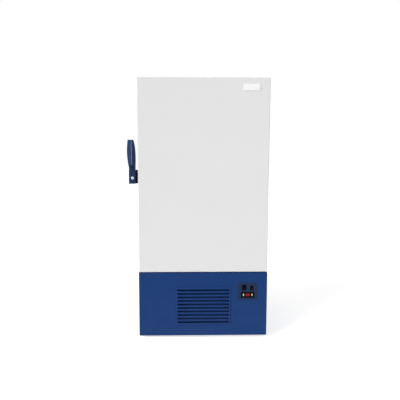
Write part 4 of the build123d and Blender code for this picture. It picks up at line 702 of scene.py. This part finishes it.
class FREEZER_OT_rigid_foam(bpy.types.Operator):
    """Foam between the skins and round the heat exchanger."""

    bl_idname = "freezer.rigid_foam"
    bl_label = "Rigid foam"

    def execute(self, context):
        foam = tuple(context.scene.freezer_colours.foam)
        for node in ("insulation", "door_insulation"):
            dress(node, cellular_foam(f"rigid_foam_{node}", foam))
        dress("heat_exchanger", cellular_foam("exchanger_jacket", shade(40, 40, 42)))
        return {"FINISHED"}


class FREEZER_OT_caster_tyres(bpy.types.Operator):
    """Grooved tyres on dished hubs for the four casters."""

    bl_idname = "freezer.caster_tyres"
    bl_label = "Caster tyres"

    def execute(self, context):
        for name in CASTERS:
            node = f"caster_wheel_{name}"
            low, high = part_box(node)
            middle = (low + high) / 2
            points = self.turned(middle, high.x - middle.x, high.z - middle.z)
            piece = finish_piece(f"caster_tyre_{name}", points, f"wheel_{name}",
                                 self.finish(name, tuple(middle)), wrapped=True)
            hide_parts(node)
        return {"FINISHED"}

    def turned(self, middle, half, reach):
        """Wheel section turned about the axle: x from the section, y and z from its radius and the angle.

        The section runs from the bore up the hub, down into the dish, over the rim and the rounded tyre to
        the groove in the middle of the tread, and is then mirrored to the other side.
        """
        along, radius = np.array(WHEEL_SECTION).T
        along = np.concatenate([along, -along[::-1]])[:, None] * half
        radius = np.concatenate([radius, radius[::-1]])[:, None] * reach
        radius = np.maximum(radius, WHEEL_BORE)
        angle = ring_angles(WHEEL_STEPS)[None]
        y = middle.y + radius * np.cos(angle)
        z = middle.z + radius * np.sin(angle)
        x = np.broadcast_to(middle.x + along, y.shape)
        return np.stack([x, y, z], axis=-1)

    def finish(self, name, middle):
        """Grey moulded hub inside black rubber, parted by the distance from the axle."""
        material, tree, into = new_material(f"caster_tyre_{name}", Specular_IOR_Level=0.25)
        skin = effect(tree, "Moulded Grain", Grain=1200.0)
        offset = vector_calc(tree, "SUBTRACT", place(tree), middle)
        away = add(tree, "ShaderNodeVectorMath", {"operation": "LENGTH"})
        plug(tree, away.inputs[0], vector_calc(tree, "MULTIPLY", offset, (0, 1, 1)))
        rubber = spread(tree, away.outputs["Value"], HUB_RADIUS, RUBBER_RADIUS, 0.0, 1.0)
        hub = mix(tree, skin["Drift"], shade(122, 124, 126), shade(140, 142, 144))
        tyre = mix(tree, skin["Drift"], shade(34, 34, 36), shade(56, 56, 57))
        dust = dust_mask(tree, reach=0.09, share=0.3)
        cover(tree, into, mix(tree, dust, mix(tree, rubber, hub, tyre), RUBBER_DUST),
              spread(tree, rubber, 0.0, 1.0, 0.45, 0.78),
              bump(tree, skin["Height"], distance=0.00006, strength=0.6))
        return material


class FREEZER_OT_rear_bumpers(bpy.types.Operator):
    """Rubber bumpers that keep the back off a wall."""

    bl_idname = "freezer.rear_bumpers"
    bl_label = "Rear bumpers"

    def execute(self, context):
        points = self.turned(*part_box("rear_spacers"))
        material = soft_rubber("bumper_rubber", shade(40, 40, 41))
        piece = finish_piece("rear_bumpers", points, "cabinet", material)
        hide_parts("rear_spacers")
        return {"FINISHED"}

    def turned(self, low, high):
        """Bumper section turned about an axis along y, once at each corner of the spacers' box.

        The section is a flange, a tapered stem with a neck, and a hollow end.
        """
        share, radius = np.array(BUMPER_SECTION).T
        radius = radius[:, None] * BUMPER_RADIUS
        angle = ring_angles(BUMPER_STEPS)
        middles = np.array([(x, z) for x in ends(low.x, high.x, BUMPER_RADIUS)
                            for z in ends(low.z, high.z, BUMPER_RADIUS)])
        x = middles[:, 0, None, None] + radius * np.cos(angle)
        z = middles[:, 1, None, None] + radius * np.sin(angle)
        y = np.broadcast_to((low.y + share * (high.y - low.y))[None, :, None], x.shape)
        return np.stack([x, y, z], axis=-1)


class FREEZER_OT_badge_plate(bpy.types.Operator):
    """A bare white plate near the door's upper right corner."""

    bl_idname = "freezer.badge_plate"
    bl_label = "Badge plate"

    def execute(self, context):
        points = self.rings(context.scene.freezer_sizes, *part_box("door_skin"))
        finish_piece("badge_plate", points, "door", self.enamel())
        return {"FINISHED"}

    def enamel(self):
        """White enamel under a clear coat, with a faint cloud of tone and gloss."""
        material, tree, into = new_material("badge_enamel", Coat_Weight=0.3)
        cloud = effect(tree, "Moulded Grain", Grain=300.0)
        cover(tree, into, drifted(tree, cloud["Drift"], shade(253, 253, 254), 0.96, 1.0),
              waver(tree, cloud["Drift"], 0.24, 0.34),
              bump(tree, cloud["Height"], distance=0.00002, strength=0.4))
        return material

    def rings(self, sizes, low, high):
        """Rounded rectangle |x|^p + |z|^p = 1, drawn in and lifted ring by ring to round its edge."""
        angle = ring_angles(BADGE_STEPS)
        power = 2 / BADGE_POWER
        across = np.sign(np.cos(angle)) * np.abs(np.cos(angle)) ** power * sizes.badge_width / 2
        upward = np.sign(np.sin(angle)) * np.abs(np.sin(angle)) ** power * sizes.badge_height / 2
        inward, lift = np.array(BADGE_EDGE).T[..., None]
        x = high.x - sizes.badge_side + across * (1 - 2 * inward / sizes.badge_width)
        z = high.z - sizes.badge_drop + upward * (1 - 2 * inward / sizes.badge_height)
        y = np.broadcast_to(low.y - lift * sizes.badge_thickness, x.shape)
        return np.stack([x, y, z], axis=-1)


class FREEZER_OT_door_gasket(bpy.types.Operator):
    """The folded rubber gasket on the door's back."""

    bl_idname = "freezer.door_gasket"
    bl_label = "Door gasket"

    def execute(self, context):
        points = self.frame_points(context.scene.freezer_sizes, *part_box("door_gasket"))
        material = soft_rubber("gasket_rubber", shade(176, 178, 180), rough=0.6)
        piece = finish_piece("gasket_bellows", points, "door", material, wrapped=True,
                             sharp=50)
        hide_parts("door_gasket")
        return {"FINISHED"}

    def frame_points(self, sizes, low, high):
        """A folded section carried round the door's four mitred corners.

        Each side of the section goes in and out along a cosine, and the sealing face is slightly crowned.
        """
        half = GASKET_WIDTH / 2
        side = np.linspace(0, 1, FOLD_STEPS)
        fold = sizes.fold_depth * (0.5 - 0.5 * np.cos(math.tau * sizes.folds * side))
        face = np.linspace(1, -1, SEAL_STEPS)[1:-1]
        outward = np.concatenate([half - fold, face * half, (fold - half)[::-1]])
        back = np.concatenate([side, 1 - SEAL_CROWN * face ** 2, side[::-1]]) * (high.y - low.y)
        turn_x = np.array((1, -1, -1, 1))[:, None]
        turn_z = np.array((1, 1, -1, -1))[:, None]
        x = (low.x + high.x) / 2 + turn_x * ((high.x - low.x - GASKET_WIDTH) / 2 + outward)
        z = (low.z + high.z) / 2 + turn_z * ((high.z - low.z - GASKET_WIDTH) / 2 + outward)
        y = np.broadcast_to(low.y + back, x.shape)
        return np.stack([x, y, z], axis=-1)


class FREEZER_OT_screws(bpy.types.Operator):
    """Button screws on the hinges, the keeper, the back and the base."""

    bl_idname = "freezer.screws"
    bl_label = "Screws"

    def execute(self, context):
        sizes = context.scene.freezer_sizes
        material = bare_metal("screw_zinc", shade(188, 190, 190), (300, 300, 300))
        for name, body, places in (("cabinet_screws", "cabinet", self.cabinet_places()),
                                   ("door_screws", "door", self.door_places())):
            spots, outs = np.array(places).transpose(1, 0, 2)
            finish_piece(name, self.heads(sizes, spots, outs), body, material, sharp=40)
        return {"FINISHED"}

    def heads(self, sizes, spots, outs):
        """Button heads: rings that rise along a rounded side, then go down a six-sided socket.

        Each ring is turned about the way out of its screw, in the two ways that are square to it.
        """
        angle = ring_angles(SCREW_STEPS)
        hexagon = SOCKET_SHARE * math.cos(math.pi / 6) / np.cos(angle % (math.pi / 3) - math.pi / 6)
        head, head_rise = np.array(HEAD_SECTION).T
        socket, socket_rise = np.array(SOCKET_SECTION).T
        radius = np.concatenate([np.outer(head, np.ones_like(angle)), np.outer(socket, hexagon)])
        rise = np.concatenate([head_rise, socket_rise])[:, None]
        first = np.stack([outs[:, 1], -outs[:, 0], outs[:, 2] * 0], axis=-1)[:, None, None]
        second = np.cross(outs[:, None, None], first)
        turned = first * np.cos(angle)[:, None] + second * np.sin(angle)[:, None]
        lifted = outs[:, None, None] * rise[..., None] * sizes.screw_height
        return spots[:, None, None] + turned * radius[..., None] * sizes.screw_radius + lifted

    def leaf_places(self, node, length, inward):
        """Screw places on a row of hinge leaves, as pairs of a point and a way out.

        They are measured from the leaves' back edge with inward -1, and from their front edge with 1. The
        length is a hinge's own height in the node, and a leaf's middle is half a knuckle up from its foot.
        """
        low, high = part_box(node)
        edge = low.y if inward > 0 else high.y
        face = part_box("outer_casing")[1].x + LEAF_THICKNESS
        levels = np.linspace(low.z, high.z - length, HINGES) + KNUCKLE_LENGTH / 2
        return [((face, edge + inward * gap, level), (1, 0, 0)) for level in levels for gap in LEAF_SCREWS]

    def cabinet_places(self):
        """Screw places on the cabinet, as pairs of a point and a way out."""
        places = self.leaf_places("hinge_cabinet_leaves", 2 * KNUCKLE_LENGTH, -1)
        low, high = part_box("keeper")
        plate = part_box("outer_casing")[0].x - KEEPER_PLATE
        places += [((plate, (low.y + high.y) / 2, level), (-1, 0, 0))
                   for level in ends(low.z, high.z, KEEPER_SCREW)]
        low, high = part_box("back_panel")
        sides = ends(low.x, high.x, BACK_SCREW)
        spots = [(x, z) for x in np.linspace(*sides, BACK_COLUMNS) for z in ends(low.z, high.z, BACK_SCREW)]
        spots += [(x, z) for x in sides for z in np.linspace(low.z, high.z, BACK_ROWS)[1:-1]]
        places += [((x, high.y, z), (0, 1, 0)) for x, z in spots]
        low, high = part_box("base_rear_cover")
        left, right = ends(low.x, high.x, REAR_COVER_SCREW)
        places += [((x, high.y, z), (0, 1, 0)) for x in (left, (left + right) / 2, right)
                   for z in ends(low.z, high.z, REAR_COVER_SCREW)]
        low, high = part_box("base_side_panels")
        for x, way in ((low.x, -1), (high.x, 1)):
            places += [((x, y, z), (way, 0, 0)) for y in ends(low.y, high.y, SIDE_PANEL_SCREW)
                       for z in (low.z + SIDE_PANEL_FOOT, high.z - SIDE_PANEL_SCREW)]
        return places

    def door_places(self):
        """Screw places on the door, as pairs of a point and a way out."""
        return self.leaf_places("hinge_door_leaves", KNUCKLE_LENGTH, 1)


class FREEZER_OT_stage(bpy.types.Operator):
    """Pale floor, soft light, white surroundings and the camera."""

    bl_idname = "freezer.stage"
    bl_label = "Stage"

    def execute(self, context):
        stage = context.scene.freezer_stage
        context.scene.view_settings.view_transform = "Standard"
        self.floor()
        self.surroundings(context.scene, stage.sky)
        self.broad_light("key_light", KEY_WAY, stage.key)
        self.broad_light("fill_light", FILL_WAY, stage.fill)
        self.camera(context.scene, stage)
        return {"FINISHED"}

    def seen(self, tree):
        """One on rays from the camera, a mirror or glass."""
        path = tree.nodes.new("ShaderNodeLightPath").outputs
        mirrored = calc(tree, "MAXIMUM", path["Is Glossy Ray"], path["Is Transmission Ray"])
        return calc(tree, "MAXIMUM", path["Is Camera Ray"], mirrored)

    def floor(self):
        """Flat pale square whose own glow lifts it to white away from the shadow."""
        mesh = bpy.data.meshes.new("studio_floor")
        square = [(x * FLOOR_REACH, y * FLOOR_REACH, 0) for x, y in ((-1, -1), (1, -1), (1, 1), (-1, 1))]
        mesh.from_pydata(square, [], [(0, 1, 2, 3)])
        material = bpy.data.materials.new("studio_floor")
        tree = clear_tree(material)
        pale = mix(tree, noise(tree, place(tree), scale=0.7), shade(244, 244, 244), shade(248, 248, 248))
        matt = add(tree, "ShaderNodeBsdfDiffuse", Color=pale).outputs["BSDF"]
        glow = add(tree, "ShaderNodeEmission", Strength=weaken(tree, self.seen(tree), FLOOR_GLOW))
        both = tree.nodes.new("ShaderNodeAddShader")
        tree.links.new(matt, both.inputs[0])
        tree.links.new(glow.outputs["Emission"], both.inputs[1])
        tree.links.new(both.outputs["Shader"], tree.nodes.new("ShaderNodeOutputMaterial").inputs["Surface"])
        mesh.materials.append(material)
        floor = bpy.data.objects.new("studio_floor", mesh)
        bpy.context.scene.collection.objects.link(floor)

    def surroundings(self, scene, strength):
        """White all round to the camera, and an even softer light on the freezer."""
        world = bpy.data.worlds.new("studio_white")
        tree = clear_tree(world)
        even = add(tree, "ShaderNodeBackground", Color=(1, 1, 1, 1), Strength=strength)
        white = add(tree, "ShaderNodeBackground", Color=(1, 1, 1, 1), Strength=1.0)
        chosen = tree.nodes.new("ShaderNodeMixShader")
        tree.links.new(self.seen(tree), chosen.inputs["Fac"])
        tree.links.new(even.outputs["Background"], chosen.inputs[1])
        tree.links.new(white.outputs["Background"], chosen.inputs[2])
        tree.links.new(chosen.outputs["Shader"], tree.nodes.new("ShaderNodeOutputWorld").inputs["Surface"])
        scene.world = world

    def broad_light(self, name, way, strength):
        """Even light from one way, wide enough for soft shadows."""
        light = bpy.data.lights.new(name, "SUN")
        light.angle = LIGHT_BREADTH
        light.energy = strength
        lamp = bpy.data.objects.new(name, light)
        lamp.location = Vector(way) * LIGHT_DISTANCE
        lamp.rotation_euler = Vector(way).to_track_quat("Z", "Y").to_euler()
        bpy.context.scene.collection.objects.link(lamp)

    def camera(self, scene, stage):
        """Camera turned by its yaw, pitch and roll from looking along +Y."""
        data = bpy.data.cameras.new("studio_camera")
        data.sensor_width = SENSOR_WIDTH
        data.lens = stage.camera_lens
        camera = bpy.data.objects.new("studio_camera", data)
        level = Matrix.Rotation(math.pi / 2, 4, "X")
        turned = Matrix.Rotation(-stage.camera_yaw, 4, "Z") @ Matrix.Rotation(-stage.camera_pitch, 4, "X")
        leaned = turned @ level @ Matrix.Rotation(stage.camera_roll, 4, "Z")
        camera.matrix_world = Matrix.Translation(stage.camera_place) @ leaned
        scene.collection.objects.link(camera)
        scene.camera = camera


class FREEZER_PT_looks(bpy.types.Panel):
    """Sidebar panel with the colours, sizes, stage and steps."""

    bl_idname = "FREEZER_PT_looks"
    bl_label = "Freezer"
    bl_space_type = "VIEW_3D"
    bl_region_type = "UI"
    bl_category = "Freezer"

    def draw(self, context):
        scene = context.scene
        for group in (scene.freezer_colours, scene.freezer_sizes, scene.freezer_stage):
            box = self.layout.box()
            for name in group.__annotations__:
                box.prop(group, name)
        for step in STEPS:
            self.layout.operator(step.bl_idname)


STEPS = (
    FREEZER_OT_painted_sheet,
    FREEZER_OT_moulded_parts,
    FREEZER_OT_metal_parts,
    FREEZER_OT_rigid_foam,
    FREEZER_OT_caster_tyres,
    FREEZER_OT_rear_bumpers,
    FREEZER_OT_badge_plate,
    FREEZER_OT_door_gasket,
    FREEZER_OT_screws,
    FREEZER_OT_stage,
)
CLASSES = (FreezerColours, FreezerSizes, FreezerStage, *STEPS, FREEZER_PT_looks)


def register():
    """Adds the classes and their settings to Blender."""
    for kind in CLASSES:
        bpy.utils.register_class(kind)
    bpy.types.Scene.freezer_colours = PointerProperty(type=FreezerColours)
    bpy.types.Scene.freezer_sizes = PointerProperty(type=FreezerSizes)
    bpy.types.Scene.freezer_stage = PointerProperty(type=FreezerStage)


def unregister():
    """Takes the classes and their settings out again."""
    del bpy.types.Scene.freezer_stage
    del bpy.types.Scene.freezer_sizes
    del bpy.types.Scene.freezer_colours
    for kind in reversed(CLASSES):
        bpy.utils.unregister_class(kind)


def main():
    """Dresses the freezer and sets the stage."""
    register()
    bpy.ops.freezer.painted_sheet()
    bpy.ops.freezer.moulded_parts()
    bpy.ops.freezer.metal_parts()
    bpy.ops.freezer.rigid_foam()
    bpy.ops.freezer.caster_tyres()
    bpy.ops.freezer.rear_bumpers()
    bpy.ops.freezer.badge_plate()
    bpy.ops.freezer.door_gasket()
    bpy.ops.freezer.screws()
    bpy.ops.freezer.stage()


if __name__ == "__main__":
    main()
